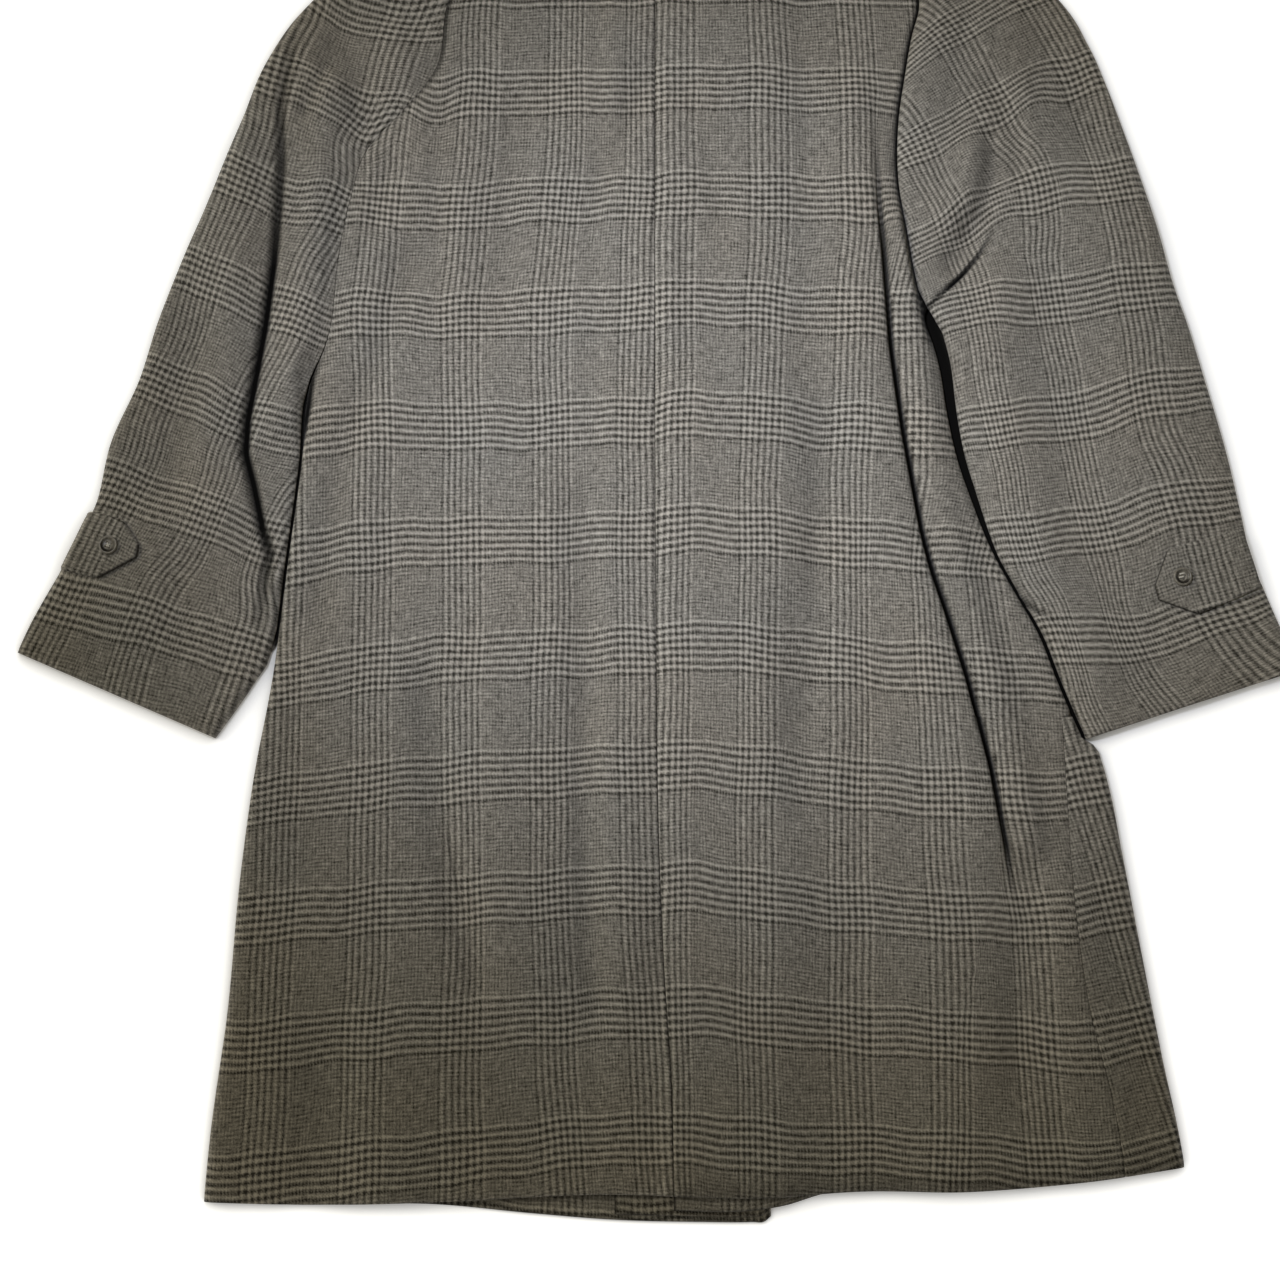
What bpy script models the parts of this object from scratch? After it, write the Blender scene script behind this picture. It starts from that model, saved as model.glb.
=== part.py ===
"""A raglan overcoat laid flat on a table, face down, so that its back shows.

Metres, +Z up, +Y towards the collar. The origin is on the table under the
centre-back seam, a little above the middle of the coat's length. The wearer's
left is at -X. Every panel is a wall of cloth about a middle surface: the
fronts lie flat on the table, the backs lie on them, and each sleeve has an
under and an upper layer.
"""

import bpy
import numpy as np

for left_over in list(bpy.data.objects):
    bpy.data.objects.remove(left_over, do_unlink=True)

# Driving sizes
WALL = 0.0025            # thickness of the lined coat cloth
SEAM = 0.0004            # gap between two pieces that are sewn together
CLEAR = 0.0003           # gap between two layers that lie on each other
LAYER = WALL + CLEAR     # height that one more layer of cloth adds
EDGE_TURN = 0.008        # how far in from a folded edge the cloth begins to turn down
SEAM_DIP = 0.016         # how far in from a seam the cloth begins to dip towards it
LOFT = 0.0030            # how far the upper layer stands off the one under it
HEM = -0.402             # the back's hem, before its slight wave
NECK = 0.664             # the neck seam at the centre back
LAP_EDGE = 0.081         # front edge of the left front, under everything
RIGHT_EDGE = 0.012       # front edge of the right front, on the left one's facing
FACING_EDGE = -0.030     # inner edge of the left front's facing
LAP_RAMP = 0.042         # width over which the right front comes down to the table
LAP_END = 0.580          # where the necklines part, so that the fronts no longer overlap
NECKLINE_START = 0.545   # where the front edges turn in to the necklines
SEWN_FROM = -0.020       # where a sleeve's inner fold starts to become the raglan seam,
SEWN_BY = 0.004          # and where it has become it, measured from the underarm
CLOSED_GAP = 0.008       # up to this gap the layers on the table still meet beside a sleeve
OPEN_GAP = 0.020         # from this gap on the table shows between sleeve and body
TAB_WALL = 0.0028
TAB_CLEAR = 0.0007       # gap under a tab, which lies over the sleeve's folds
BUTTON_RADIUS = 0.0070
BUTTON_HEIGHT = 0.0032
COLLAR_HALF = 0.118      # half of the flattened collar's length
COLLAR_TURN = 0.0038     # radius of the fold at the collar's top
COLLAR_TOP = 0.702       # the collar's top and the fall's lower edge at the centre back
FALL_EDGE = 0.612

CLOTH_COLOUR = (0.20, 0.185, 0.165)
FACING_COLOUR = (0.17, 0.155, 0.135)
BUTTON_COLOUR = (0.045, 0.038, 0.032)


def table(columns, *rows):
    """A small table as a dictionary of columns."""
    return dict(zip(columns.split(), np.array(rows, dtype=float).T))


def smooth(at, knots, values):
    """Cubic curve through a table's points, with each point's mean slope."""
    slopes = np.gradient(values, knots)
    at = np.clip(at, knots[0], knots[-1])
    k = np.clip(np.searchsorted(knots, at, side="right") - 1, 0, len(knots) - 2)
    span = knots[k + 1] - knots[k]
    t = (at - knots[k]) / span
    start = values[k] * (1 + 2 * t) * (1 - t) ** 2 + slopes[k] * span * t * (1 - t) ** 2
    end = values[k + 1] * t * t * (3 - 2 * t) - slopes[k + 1] * span * t * t * (1 - t)
    return start + end


def ease(at, low, high):
    """0 below low, 1 above high, with a soft start and end between them."""
    t = np.clip((at - low) / (high - low), 0, 1)
    return t * t * (3 - 2 * t)


# Outline of the body, seen from above: each row is a height on the coat and
# where the side fold, and above the underarm the raglan seam, crosses it.
BODY_LEFT = table(
    "y x",
    (-0.425, -0.3235), (-0.356, -0.3190), (-0.276, -0.3100), (-0.179, -0.3040),
    (-0.102, -0.2960), (-0.032, -0.2850), (0.060, -0.2755), (0.130, -0.2680),
    (0.199, -0.2620), (0.225, -0.2520), (0.301, -0.2430), (0.346, -0.2350),
    (0.387, -0.2220), (0.417, -0.1960), (0.446, -0.1740), (0.509, -0.1620),
    (0.590, -0.1200), (0.664, -0.0790),
)
BODY_RIGHT = table(
    "y x",
    (-0.425, 0.3790), (-0.342, 0.3690), (-0.259, 0.3560), (-0.156, 0.3400),
    (-0.112, 0.3330), (-0.090, 0.3265), (-0.070, 0.3130), (-0.035, 0.2985),
    (0.006, 0.2835), (0.033, 0.2690), (0.062, 0.2540), (0.106, 0.2375),
    (0.137, 0.2280), (0.173, 0.2210), (0.210, 0.2160), (0.249, 0.2060),
    (0.281, 0.1990), (0.314, 0.1940), (0.360, 0.1875), (0.411, 0.1890),
    (0.444, 0.1930), (0.478, 0.1990), (0.530, 0.1930), (0.590, 0.1450),
    (0.664, 0.0790),
)
CENTRE_BACK = table(
    "y x",
    (-0.425, 0.0120), (-0.325, 0.0105), (-0.237, 0.0050), (-0.120, 0.0010),
    (0.000, 0.0000), (0.664, 0.0000),
)
HEM_WAVE = table(
    "x y",
    (-0.330, -0.4060), (-0.263, -0.4080), (-0.153, -0.4060), (-0.040, -0.4010),
    (0.081, -0.4030), (0.144, -0.3990), (0.220, -0.3990), (0.308, -0.3920),
    (0.385, -0.3810),
)
LEFT_FRONT_HEM = table(
    "x y",
    (-0.330, -0.4055), (-0.264, -0.4085), (-0.154, -0.4085), (-0.089, -0.4145),
    (-0.030, -0.4190), (0.031, -0.4205), (0.068, -0.4205), (0.076, -0.4185),
    (0.081, -0.4130),
)
FACING_HEM = table(
    "x y", (-0.035, -0.4150), (0.031, -0.4165), (0.066, -0.4165), (0.073, -0.4145), (0.079, -0.4090)
)
RIGHT_FRONT_HEM = table(
    "x y",
    (0.012, -0.4125), (0.066, -0.4125), (0.090, -0.4090), (0.119, -0.4010),
    (0.200, -0.3975), (0.300, -0.3905), (0.385, -0.3790),
)
SIDE_SEAM = table(
    "y x",
    (-0.425, 0.3350), (-0.331, 0.3240), (-0.269, 0.3110), (-0.218, 0.3050),
    (-0.113, 0.3010), (-0.040, 0.2985),
)
STRIP_TOP = -0.058       # where the right front's turned strip ends
UNDERARM_LEFT = 0.200
UNDERARM_RIGHT = 0.262
OVERLAP = 0.010          # how far the right back runs on under the sleeve's fold

# Front necklines, from the front edges up to the ends of the shoulders
LEFT_NECKLINE = table(
    "y x", (0.545, 0.081), (0.560, 0.070), (0.575, 0.036), (0.610, -0.035), (0.664, -0.068)
)
RIGHT_NECKLINE = table(
    "y x", (0.545, 0.012), (0.560, 0.020), (0.575, 0.042), (0.610, 0.060), (0.664, 0.068)
)

# Sleeves: each row is a line across the sleeve, from its outer fold to its
# inner one. `gap` is how far the inner fold stands off the body's side, 0 on
# the raglan seam, and `crease` is where the long fold crosses the row, as a
# share of its length.
LEFT_ROWS = table(
    "outer_x outer_y inner_y gap crease",
    (-0.475, -0.010, -0.074, 0.0340, 0.93),
    (-0.464, 0.016, -0.050, 0.0215, 0.93),
    (-0.449, 0.045, -0.026, 0.0105, 0.93),
    (-0.435, 0.075, 0.007, 0.0040, 0.93),
    (-0.421, 0.105, 0.046, 0.0020, 0.88),
    (-0.412, 0.152, 0.089, 0.0020, 0.76),
    (-0.393, 0.200, 0.135, 0.0020, 0.69),
    (-0.380, 0.248, 0.180, 0.0020, 0.67),
    (-0.362, 0.301, 0.240, 0.0000, 0.63),
    (-0.348, 0.337, 0.301, 0.0000, 0.55),
    (-0.332, 0.382, 0.356, 0.0000, 0.43),
    (-0.320, 0.415, 0.393, 0.0000, 0.31),
    (-0.308, 0.450, 0.425, 0.0000, 0.23),
    (-0.289, 0.485, 0.465, 0.0000, 0.20),
    (-0.268, 0.511, 0.504, 0.0000, 0.20),
    (-0.228, 0.555, 0.552, 0.0000, 0.20),
    (-0.165, 0.611, 0.606, 0.0000, 0.20),
    (-0.100, 0.662, 0.657, 0.0000, 0.20),
)
RIGHT_ROWS = table(
    "outer_x outer_y inner_y gap crease",
    (0.478, -0.023, -0.0750, 0.0030, 0.90),
    (0.464, 0.011, -0.0350, 0.0030, 0.90),
    (0.454, 0.038, 0.0060, 0.0030, 0.90),
    (0.446, 0.060, 0.0330, 0.0030, 0.90),
    (0.440, 0.095, 0.0620, 0.0030, 0.88),
    (0.432, 0.139, 0.1180, 0.0060, 0.86),
    (0.424, 0.174, 0.1480, 0.0065, 0.85),
    (0.416, 0.206, 0.1920, 0.0070, 0.84),
    (0.407, 0.242, 0.2370, 0.0080, 0.84),
    (0.397, 0.276, 0.2700, 0.0000, 0.82),
    (0.387, 0.320, 0.3140, 0.0000, 0.70),
    (0.376, 0.360, 0.3600, 0.0000, 0.60),
    (0.365, 0.397, 0.4000, 0.0000, 0.52),
    (0.351, 0.441, 0.4440, 0.0000, 0.50),
    (0.339, 0.472, 0.4780, 0.0000, 0.50),
    (0.318, 0.509, 0.5200, 0.0000, 0.50),
    (0.255, 0.578, 0.5770, 0.0000, 0.50),
    (0.165, 0.631, 0.6280, 0.0000, 0.50),
    (0.100, 0.662, 0.6580, 0.0000, 0.50),
)

# Tabs, seen from above: both edges of each one from the sleeve's outer fold,
# past the corner, to the point.
TABS = {
    "left": table(
        "upper_x upper_y lower_x lower_y",
        (-0.4235, 0.0957, -0.4431, 0.0513),
        (-0.3988, 0.0891, -0.4152, 0.0444),
        (-0.3850, 0.0690, -0.3864, 0.0596),
    ),
    "right": table(
        "upper_x upper_y lower_x lower_y",
        (0.4390, 0.0834, 0.4514, 0.0383),
        (0.3811, 0.0665, 0.4027, 0.0175),
        (0.3709, 0.0391, 0.3735, 0.0284),
    ),
}
BUTTON_CENTRES = {"left": (-0.4079, 0.0690), "right": (0.3913, 0.0452)}

# Folds of the upper layer. `lift` is the height of a ridge, or less than 0 for
# a trough, and `width` is the half-width at which it has mostly faded.
BODY_FOLDS = (
    # lift, width, points along it
    (-0.0075, 0.0060, ((0.170, 0.430), (0.172, 0.340), (0.177, 0.265), (0.187, 0.158), (0.199, 0.082),
                       (0.215, 0.023), (0.238, -0.059), (0.251, -0.123), (0.259, -0.180))),
    (0.0055, 0.0230, ((0.150, 0.420), (0.158, 0.265), (0.168, 0.158), (0.182, 0.082), (0.200, 0.010),
                      (0.222, -0.070), (0.238, -0.150))),
    (0.0050, 0.0130, ((0.187, 0.330), (0.194, 0.250), (0.206, 0.150), (0.217, 0.090), (0.236, 0.020),
                      (0.258, -0.070), (0.272, -0.150))),
    (-0.0030, 0.0150, ((0.268, -0.180), (0.262, -0.260), (0.258, -0.330))),
    (0.0030, 0.0300, ((0.295, -0.200), (0.300, -0.300), (0.305, -0.400))),
    (0.0032, 0.0350, ((0.215, -0.240), (0.218, -0.330), (0.222, -0.400))),
    (-0.0030, 0.0180, ((0.124, 0.280), (0.122, 0.120), (0.116, 0.020), (0.104, -0.100), (0.092, -0.180))),
    (-0.0032, 0.0200, ((-0.064, 0.110), (-0.062, -0.060), (-0.060, -0.170), (-0.050, -0.270),
                       (-0.034, -0.330))),
    (0.0030, 0.0300, ((-0.022, -0.100), (-0.018, -0.220), (-0.016, -0.300))),
    (-0.0035, 0.0120, ((-0.172, -0.030), (-0.158, -0.150), (-0.144, -0.205), (-0.130, -0.250))),
    (0.0028, 0.0300, ((-0.110, -0.040), (-0.108, -0.140), (-0.100, -0.240))),
    (0.0030, 0.0260, ((-0.205, 0.240), (-0.225, 0.130), (-0.232, 0.040))),
    (-0.0035, 0.0140, ((-0.190, 0.300), (-0.212, 0.220), (-0.240, 0.130), (-0.252, 0.020))),
    (0.0026, 0.0400, ((-0.180, -0.260), (-0.190, -0.400))),
    (-0.0026, 0.0180, ((-0.110, 0.420), (-0.122, 0.330), (-0.128, 0.250))),
    (-0.0020, 0.0250, ((0.268, -0.290), (0.272, -0.400))),
    (-0.0024, 0.0250, ((-0.270, -0.060), (-0.262, -0.160))),
    (-0.0024, 0.0260, ((-0.244, -0.300), (-0.250, -0.400))),
)
RIGHT_PLEAT, LEFT_CREASE = 0, 9      # the folds that the columns of each back follow
LEFT_SLEEVE_FOLDS = (
    (-0.0085, 0.0065, ((-0.284, 0.480), (-0.289, 0.400), (-0.291, 0.320), (-0.299, 0.235),
                       (-0.308, 0.175), (-0.309, 0.145), (-0.301, 0.112), (-0.292, 0.080))),
    (0.0060, 0.0240, ((-0.318, 0.380), (-0.325, 0.260), (-0.338, 0.160), (-0.330, 0.100))),
    (0.0055, 0.0160, ((-0.255, 0.430), (-0.262, 0.330), (-0.272, 0.250), (-0.284, 0.170))),
    (-0.0035, 0.0180, ((-0.345, 0.240), (-0.362, 0.160), (-0.372, 0.125))),
    (0.0045, 0.0150, ((-0.205, 0.475), (-0.200, 0.455))),
    (-0.0045, 0.0120, ((-0.250, 0.470), (-0.232, 0.440), (-0.224, 0.405))),
    (0.0035, 0.0350, ((-0.395, 0.020), (-0.380, 0.060))),
)
RIGHT_SLEEVE_FOLDS = (
    (-0.0050, 0.0100, ((0.252, 0.400), (0.266, 0.345), (0.262, 0.320), (0.236, 0.285), (0.216, 0.266))),
    (0.0050, 0.0150, ((0.225, 0.330), (0.240, 0.345), (0.245, 0.380))),
    (-0.0035, 0.0120, ((0.215, 0.350), (0.240, 0.372), (0.255, 0.405))),
    (0.0055, 0.0260, ((0.262, 0.270), (0.262, 0.200), (0.272, 0.110), (0.292, 0.050), (0.325, -0.020))),
    (-0.0035, 0.0120, ((0.276, 0.028), (0.300, 0.008))),
    (0.0040, 0.0350, ((0.350, 0.330), (0.372, 0.180), (0.385, 0.090))),
    (-0.0030, 0.0250, ((0.300, 0.470), (0.318, 0.430), (0.330, 0.400))),
)


def line_distance(x, y, points):
    """Distance to a line of short straight runs."""
    distance = np.full_like(x, np.inf)
    for (ax, ay), (bx, by) in zip(points[:-1], points[1:]):
        along_x, along_y = bx - ax, by - ay
        t = ((x - ax) * along_x + (y - ay) * along_y) / (along_x ** 2 + along_y ** 2)
        t = np.clip(t, 0, 1)
        distance = np.minimum(distance, np.hypot(x - ax - t * along_x, y - ay - t * along_y))
    return distance


def fold_height(x, y, folds):
    """Sum of soft ridges and troughs, each fading with the distance to its line."""
    height = np.zeros_like(x)
    for lift, width, points in folds:
        height += lift * np.exp(-(line_distance(x, y, points) / width) ** 2)
    return height


def upper_loft(x, y, folds):
    """Height of the upper layer over its lowest place, never below 0."""
    height = LOFT + fold_height(x, y, folds)
    return 0.5 * (height + np.sqrt(height ** 2 + 0.0008 ** 2))


def lap_height(x, y):
    """Height that the lapped fronts and the facing add under the back."""
    facing = LAYER * ease(x, FACING_EDGE - 0.016, FACING_EDGE - 0.003)
    right_front = LAYER * ease(x, RIGHT_EDGE - 0.010, RIGHT_EDGE - 0.002)
    past_edge = 1 - ease(x, LAP_EDGE + 0.002, LAP_EDGE + LAP_RAMP)
    above_necklines = 1 - ease(y, LAP_END, LAP_END + 0.035)
    return (facing + right_front) * past_edge * above_necklines


def turned_edge(distance, high, low, turn=EDGE_TURN):
    """Quarter of an ellipse from the height low at an edge up to high inside it."""
    inside = np.clip(distance / turn, 0, 1)
    return low + (high - low) * np.sqrt(1 - (1 - inside) ** 2)


def dipped_seam(distance, high, low):
    """Soft dip of the upper layer down to the height low at a seam."""
    return low + (high - low) * ease(distance, 0, SEAM_DIP)


BACK_LOW = WALL / 2 + LAYER          # middle of a back panel that lies on a flat front
FOLD_END = WALL + 0.0014             # where the middle of a folded edge's upper cloth ends
SEAM_LOW = BACK_LOW + 0.0010         # middle of the cloth at a raglan seam
SLEEVE_OVER = SEAM_LOW + LAYER       # the right sleeve's cloth where it lies over the back
SLEEVE_OVER_END = SEAM_LOW + WALL / 2 + 0.0014


def spread(stops, counts):
    """Columns across a piece: even steps from each stop to the next, row by row."""
    steps = []
    for start, end, count in zip(stops[:-1], stops[1:], counts):
        share = np.arange(count) / count
        steps.append(start[:, None] + (end - start)[:, None] * share)
    steps.append(stops[-1][:, None])
    return np.concatenate(steps, axis=1)


TURN_SHARES = (1.0, 0.62, 0.30, 0.08, 0.0)   # columns of a turned edge, as shares of its width
OUTER_SHARES = TURN_SHARES[::-1]


def material(name, colour, roughness):
    """Principled material of one plain colour."""
    made = bpy.data.materials.new(name)
    made.use_nodes = True
    shader = made.node_tree.nodes["Principled BSDF"]
    shader.inputs["Base Color"].default_value = (*colour, 1.0)
    shader.inputs["Roughness"].default_value = roughness
    made.diffuse_color = (*colour, 1.0)
    return made


def add_object(name, points, faces, colour, roughness=0.9):
    """One named object with its own material and its faces turned outwards."""
    corners = np.array([(points[f[0]], points[f[i]], points[f[i + 1]])
                        for f in faces for i in range(1, len(f) - 1)])
    volume = np.einsum("ij,ij->i", corners[:, 0], np.cross(corners[:, 1], corners[:, 2])).sum()
    if volume < 0:
        faces = [face[::-1] for face in faces]
    mesh = bpy.data.meshes.new(name)
    mesh.from_pydata(points.tolist(), [], faces)
    mesh.materials.append(material(name, colour, roughness))
    mesh.shade_smooth()
    made = bpy.data.objects.new(name, mesh)
    bpy.context.scene.collection.objects.link(made)
    return made


def cloth(name, middle, wall=WALL, upright=None, colour=CLOTH_COLOUR):
    """Closed wall of cloth about a grid of middle points.

    Both faces stand off the middle by half the wall, along the surface's own
    normal, or straight up where `upright` says that two panels meet at a seam.
    """
    rows, columns = middle.shape[:2]
    along = np.gradient(middle, axis=0)
    across = np.gradient(middle, axis=1)
    normal = np.cross(across, along)
    normal /= np.linalg.norm(normal, axis=2, keepdims=True)
    if normal[:, :, 2].mean() < 0:
        normal = -normal
    if upright is not None:
        normal[upright] = (0.0, 0.0, 1.0)
    upper = (middle + normal * wall / 2).reshape(-1, 3)
    lower = (middle - normal * wall / 2).reshape(-1, 3)
    index = np.arange(rows * columns).reshape(rows, columns)
    a, b, c, d = index[:-1, :-1], index[:-1, 1:], index[1:, 1:], index[1:, :-1]
    top = np.stack([a, b, c, d], axis=-1).reshape(-1, 4)
    bottom = top[:, ::-1] + rows * columns
    rim = np.concatenate([index[0, :], index[1:, -1], index[-1, -2::-1], index[-2::-1, 0]])
    sides = np.stack([rim[1:], rim[:-1], rim[:-1] + rows * columns, rim[1:] + rows * columns], axis=-1)
    faces = np.concatenate([top, bottom, sides]).tolist()
    return add_object(name, np.concatenate([upper, lower]), faces, colour)


def neck_calm(y):
    """1 over most of the coat, falling to 0 where the layers lie flat at the neck."""
    return ease(NECK - y, 0.02, 0.10)


def follow_hem(x, y, line):
    """Rows moved up or down to a hem line, less and less up to 10 cm above it."""
    return y + (smooth(x, line["x"], line["y"]) - HEM) * (1 - ease(y, HEM, HEM + 0.10))


def body_edge(y, outline):
    """The body's side fold, or above the underarm its raglan seam."""
    return smooth(y, outline["y"], outline["x"])


# Backs: two halves, sewn along the centre and lying on the fronts
UPPER_ROWS = np.linspace(0.180, NECK, 18)    # shared, so that both sides of a seam match
BODY_ROWS = np.sort(np.concatenate([
    HEM + np.array([0, 0.004, 0.018]),
    np.linspace(HEM + 0.045, 0.140, 12),
    [STRIP_TOP - 0.001, STRIP_TOP + 0.006],
    UPPER_ROWS,
]))


def body_height(x, y, edge_distance, seam_weight):
    """Middle height of a back: its folds, laid over the lap, down to its edge."""
    calm = neck_calm(y)
    high = BACK_LOW + lap_height(x, y) + upper_loft(x, y, BODY_FOLDS) * calm + 0.0006 * (1 - calm)
    folded = turned_edge(edge_distance, high, FOLD_END)
    under_sleeve = np.where(x > 0, OVERLAP, 0) * (y > STRIP_TOP)
    sewn = dipped_seam(edge_distance - under_sleeve, high, SEAM_LOW + lap_height(x, y))
    return folded + (sewn - folded) * seam_weight


def back_panel(name, side, edge, seam_weight, crease, counts):
    """One half of the back, from the centre seam out to its side."""
    y = BODY_ROWS
    centre = smooth(y, CENTRE_BACK["y"], CENTRE_BACK["x"]) + side * SEAM / 2
    width = np.abs(edge - centre)
    at = np.minimum(np.abs(crease - centre), width - EDGE_TURN - 0.022)
    stops = [np.zeros_like(y), at - 0.016, at - 0.006, at, at + 0.006, at + 0.013]
    stops += [width - EDGE_TURN * share for share in TURN_SHARES]
    across = spread(stops, counts)
    x = centre[:, None] + side * across
    rows_y = np.broadcast_to(y[:, None], x.shape)
    z = body_height(x, rows_y, width[:, None] - across, seam_weight[:, None])
    upright = np.zeros(x.shape, dtype=bool)
    upright[:, 0] = True
    upright[:, -1] = seam_weight > 0.5
    cloth(name, np.stack([x, follow_hem(x, rows_y, HEM_WAVE), z], axis=2), upright=upright)


def fold_x(y, fold):
    """Where a long fold crosses each row, straight on past its ends."""
    points = np.array(fold[2])[::-1]
    return np.interp(y, points[:, 1], points[:, 0])


LEFT_SEWN = ease(BODY_ROWS, UNDERARM_LEFT + SEWN_FROM, UNDERARM_LEFT + SEWN_BY)
left_edge = body_edge(BODY_ROWS, BODY_LEFT)
left_edge = left_edge + (WALL * (1 - LEFT_SEWN) + SEAM * LEFT_SEWN) / 2
back_panel("back_left", -1, left_edge, LEFT_SEWN, fold_x(BODY_ROWS, BODY_FOLDS[LEFT_CREASE]),
           (7, 1, 1, 1, 1, 4, 1, 1, 1, 1))

at_strip = BODY_ROWS < STRIP_TOP
right_over = ease(BODY_ROWS, UNDERARM_RIGHT - 0.016, UNDERARM_RIGHT + 0.008)
right_edge = body_edge(BODY_ROWS, BODY_RIGHT)
right_edge = right_edge - WALL / 2 + (WALL / 2 + OVERLAP) * right_over
side_seam = smooth(BODY_ROWS, SIDE_SEAM["y"], SIDE_SEAM["x"]) - SEAM / 2
right_edge = np.where(at_strip, side_seam, right_edge)
right_low = ease(BODY_ROWS, UNDERARM_RIGHT - 0.050, UNDERARM_RIGHT - 0.022)
back_panel("back_right", 1, right_edge, np.where(at_strip, 1.0, right_low),
           fold_x(BODY_ROWS, BODY_FOLDS[RIGHT_PLEAT]), (7, 1, 1, 1, 1, 3, 1, 1, 1, 1))

# Fronts: flat on the table, the left one lowest, with its facing on it, and
# the right one lapped over both
SLEEVE_ROWS = np.linspace(-0.050, 0.155, 9)    # shared by the fronts and the sleeves beside them
CUFF_RISE = 0.004        # height of the sleeves' second row over the first
FRONT_ROWS = np.concatenate([
    HEM + np.array([0, 0.018]), np.linspace(HEM + 0.05, -0.100, 4),
    RIGHT_ROWS["inner_y"][0] + np.array([0, CUFF_RISE]), SLEEVE_ROWS, UPPER_ROWS,
])


def front_panel(name, start, end, shares, hem, height=None, rows=FRONT_ROWS, colour=CLOTH_COLOUR):
    """A level layer between two lines of x, one value of each for every row."""
    x = start[:, None] + (end - start)[:, None] * np.asarray(shares)[None, :]
    rows_y = np.broadcast_to(rows[:, None], x.shape)
    z = np.full(x.shape, WALL / 2) if height is None else height(x, rows_y)
    upright = np.ones(x.shape, dtype=bool)
    middle = np.stack([x, follow_hem(x, rows_y, hem), z], axis=2)
    cloth(name, middle, upright=upright, colour=colour)


sewn_left = ease(FRONT_ROWS, UNDERARM_LEFT + SEWN_FROM, UNDERARM_LEFT + SEWN_BY)
sewn_right = ease(FRONT_ROWS, UNDERARM_RIGHT + SEWN_FROM, UNDERARM_RIGHT + SEWN_BY)
front_panel(
    "front_left",
    body_edge(FRONT_ROWS, BODY_LEFT) + sewn_left * SEAM / 2,
    np.where(FRONT_ROWS < NECKLINE_START, LAP_EDGE, smooth(FRONT_ROWS, LEFT_NECKLINE["y"], LEFT_NECKLINE["x"])),
    (0, 0.4, 0.7, 0.88, 0.965, 0.985, 1), LEFT_FRONT_HEM,
)
facing_rows = FRONT_ROWS[FRONT_ROWS < NECKLINE_START]
front_panel(
    "front_facing", np.full_like(facing_rows, FACING_EDGE), np.full_like(facing_rows, LAP_EDGE - 0.003),
    (0, 0.5, 0.85, 0.93, 1), FACING_HEM, lambda x, y: np.full_like(x, BACK_LOW), facing_rows,
    FACING_COLOUR,
)


def right_front_height(x, y):
    """The right front's middle height: down a ramp from the lap to the table."""
    past_edge = 1 - ease(x, LAP_EDGE + 0.002, LAP_EDGE + LAP_RAMP)
    return WALL / 2 + 2 * LAYER * past_edge * (1 - ease(y, LAP_END, LAP_END + 0.035))


right_start = np.where(
    FRONT_ROWS < NECKLINE_START, RIGHT_EDGE, smooth(FRONT_ROWS, RIGHT_NECKLINE["y"], RIGHT_NECKLINE["x"]))
right_end = body_edge(FRONT_ROWS, BODY_RIGHT) - sewn_right * SEAM / 2
LAP_SPOTS = np.array([0.081, 0.090, 0.098, 0.107, 0.116, 0.124])
step_share = 0.06 * (right_end - right_start)[:, None]
lap_columns = np.clip(
    LAP_SPOTS[None, :],
    right_start[:, None] + np.minimum(0.0015, step_share) * np.arange(1, 7),
    right_end[:, None] - np.minimum(0.0040, step_share) * np.arange(9, 3, -1),
)
right_x = np.concatenate([
    right_start[:, None], lap_columns,
    lap_columns[:, -1:] + (right_end[:, None] - lap_columns[:, -1:]) * np.array([[0.35, 0.7, 1.0]]),
], axis=1)
right_y = np.broadcast_to(FRONT_ROWS[:, None], right_x.shape)
cloth(
    "front_right",
    np.stack([right_x, follow_hem(right_x, right_y, RIGHT_FRONT_HEM), right_front_height(right_x, right_y)],
             axis=2),
    upright=np.ones(right_x.shape, dtype=bool),
)

# The strip of the right front that turns over the side fold to the side seam
STRIP_ROWS = np.concatenate([HEM + np.array([0, 0.004, 0.015]), np.linspace(HEM + 0.04, STRIP_TOP - 0.004, 11)])
strip_seam = smooth(STRIP_ROWS, SIDE_SEAM["y"], SIDE_SEAM["x"]) + SEAM / 2
strip_edge = body_edge(STRIP_ROWS, BODY_RIGHT) - WALL / 2
strip_width = strip_edge - strip_seam
strip_turn = np.minimum(EDGE_TURN, 0.7 * strip_width)
strip_across = spread(
    [np.zeros_like(strip_width)] + [strip_width - strip_turn * share for share in TURN_SHARES],
    (5, 1, 1, 1, 1))
strip_x = strip_seam[:, None] + strip_across
strip_y = np.broadcast_to(STRIP_ROWS[:, None], strip_x.shape)
strip_high = BACK_LOW + upper_loft(strip_x, strip_y, BODY_FOLDS)
strip_dip = SEAM_LOW + (strip_high - SEAM_LOW) * ease(strip_across, 0, SEAM_DIP)
strip_z = turned_edge(strip_width[:, None] - strip_across, strip_dip, FOLD_END, strip_turn[:, None])
strip_upright = np.zeros(strip_x.shape, dtype=bool)
strip_upright[:, 0] = True
cloth("front_right_turn", np.stack([strip_x, follow_hem(strip_x, strip_y, HEM_WAVE), strip_z], axis=2),
      upright=strip_upright)


# Sleeves: an under layer flat on the table and an upper one over it, both
# from the outer fold to the inner fold or the raglan seam
SLEEVES = {
    "left": (-1, LEFT_ROWS, BODY_LEFT, UNDERARM_LEFT, LEFT_SLEEVE_FOLDS),
    "right": (1, RIGHT_ROWS, BODY_RIGHT, UNDERARM_RIGHT, RIGHT_SLEEVE_FOLDS),
}


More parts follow.
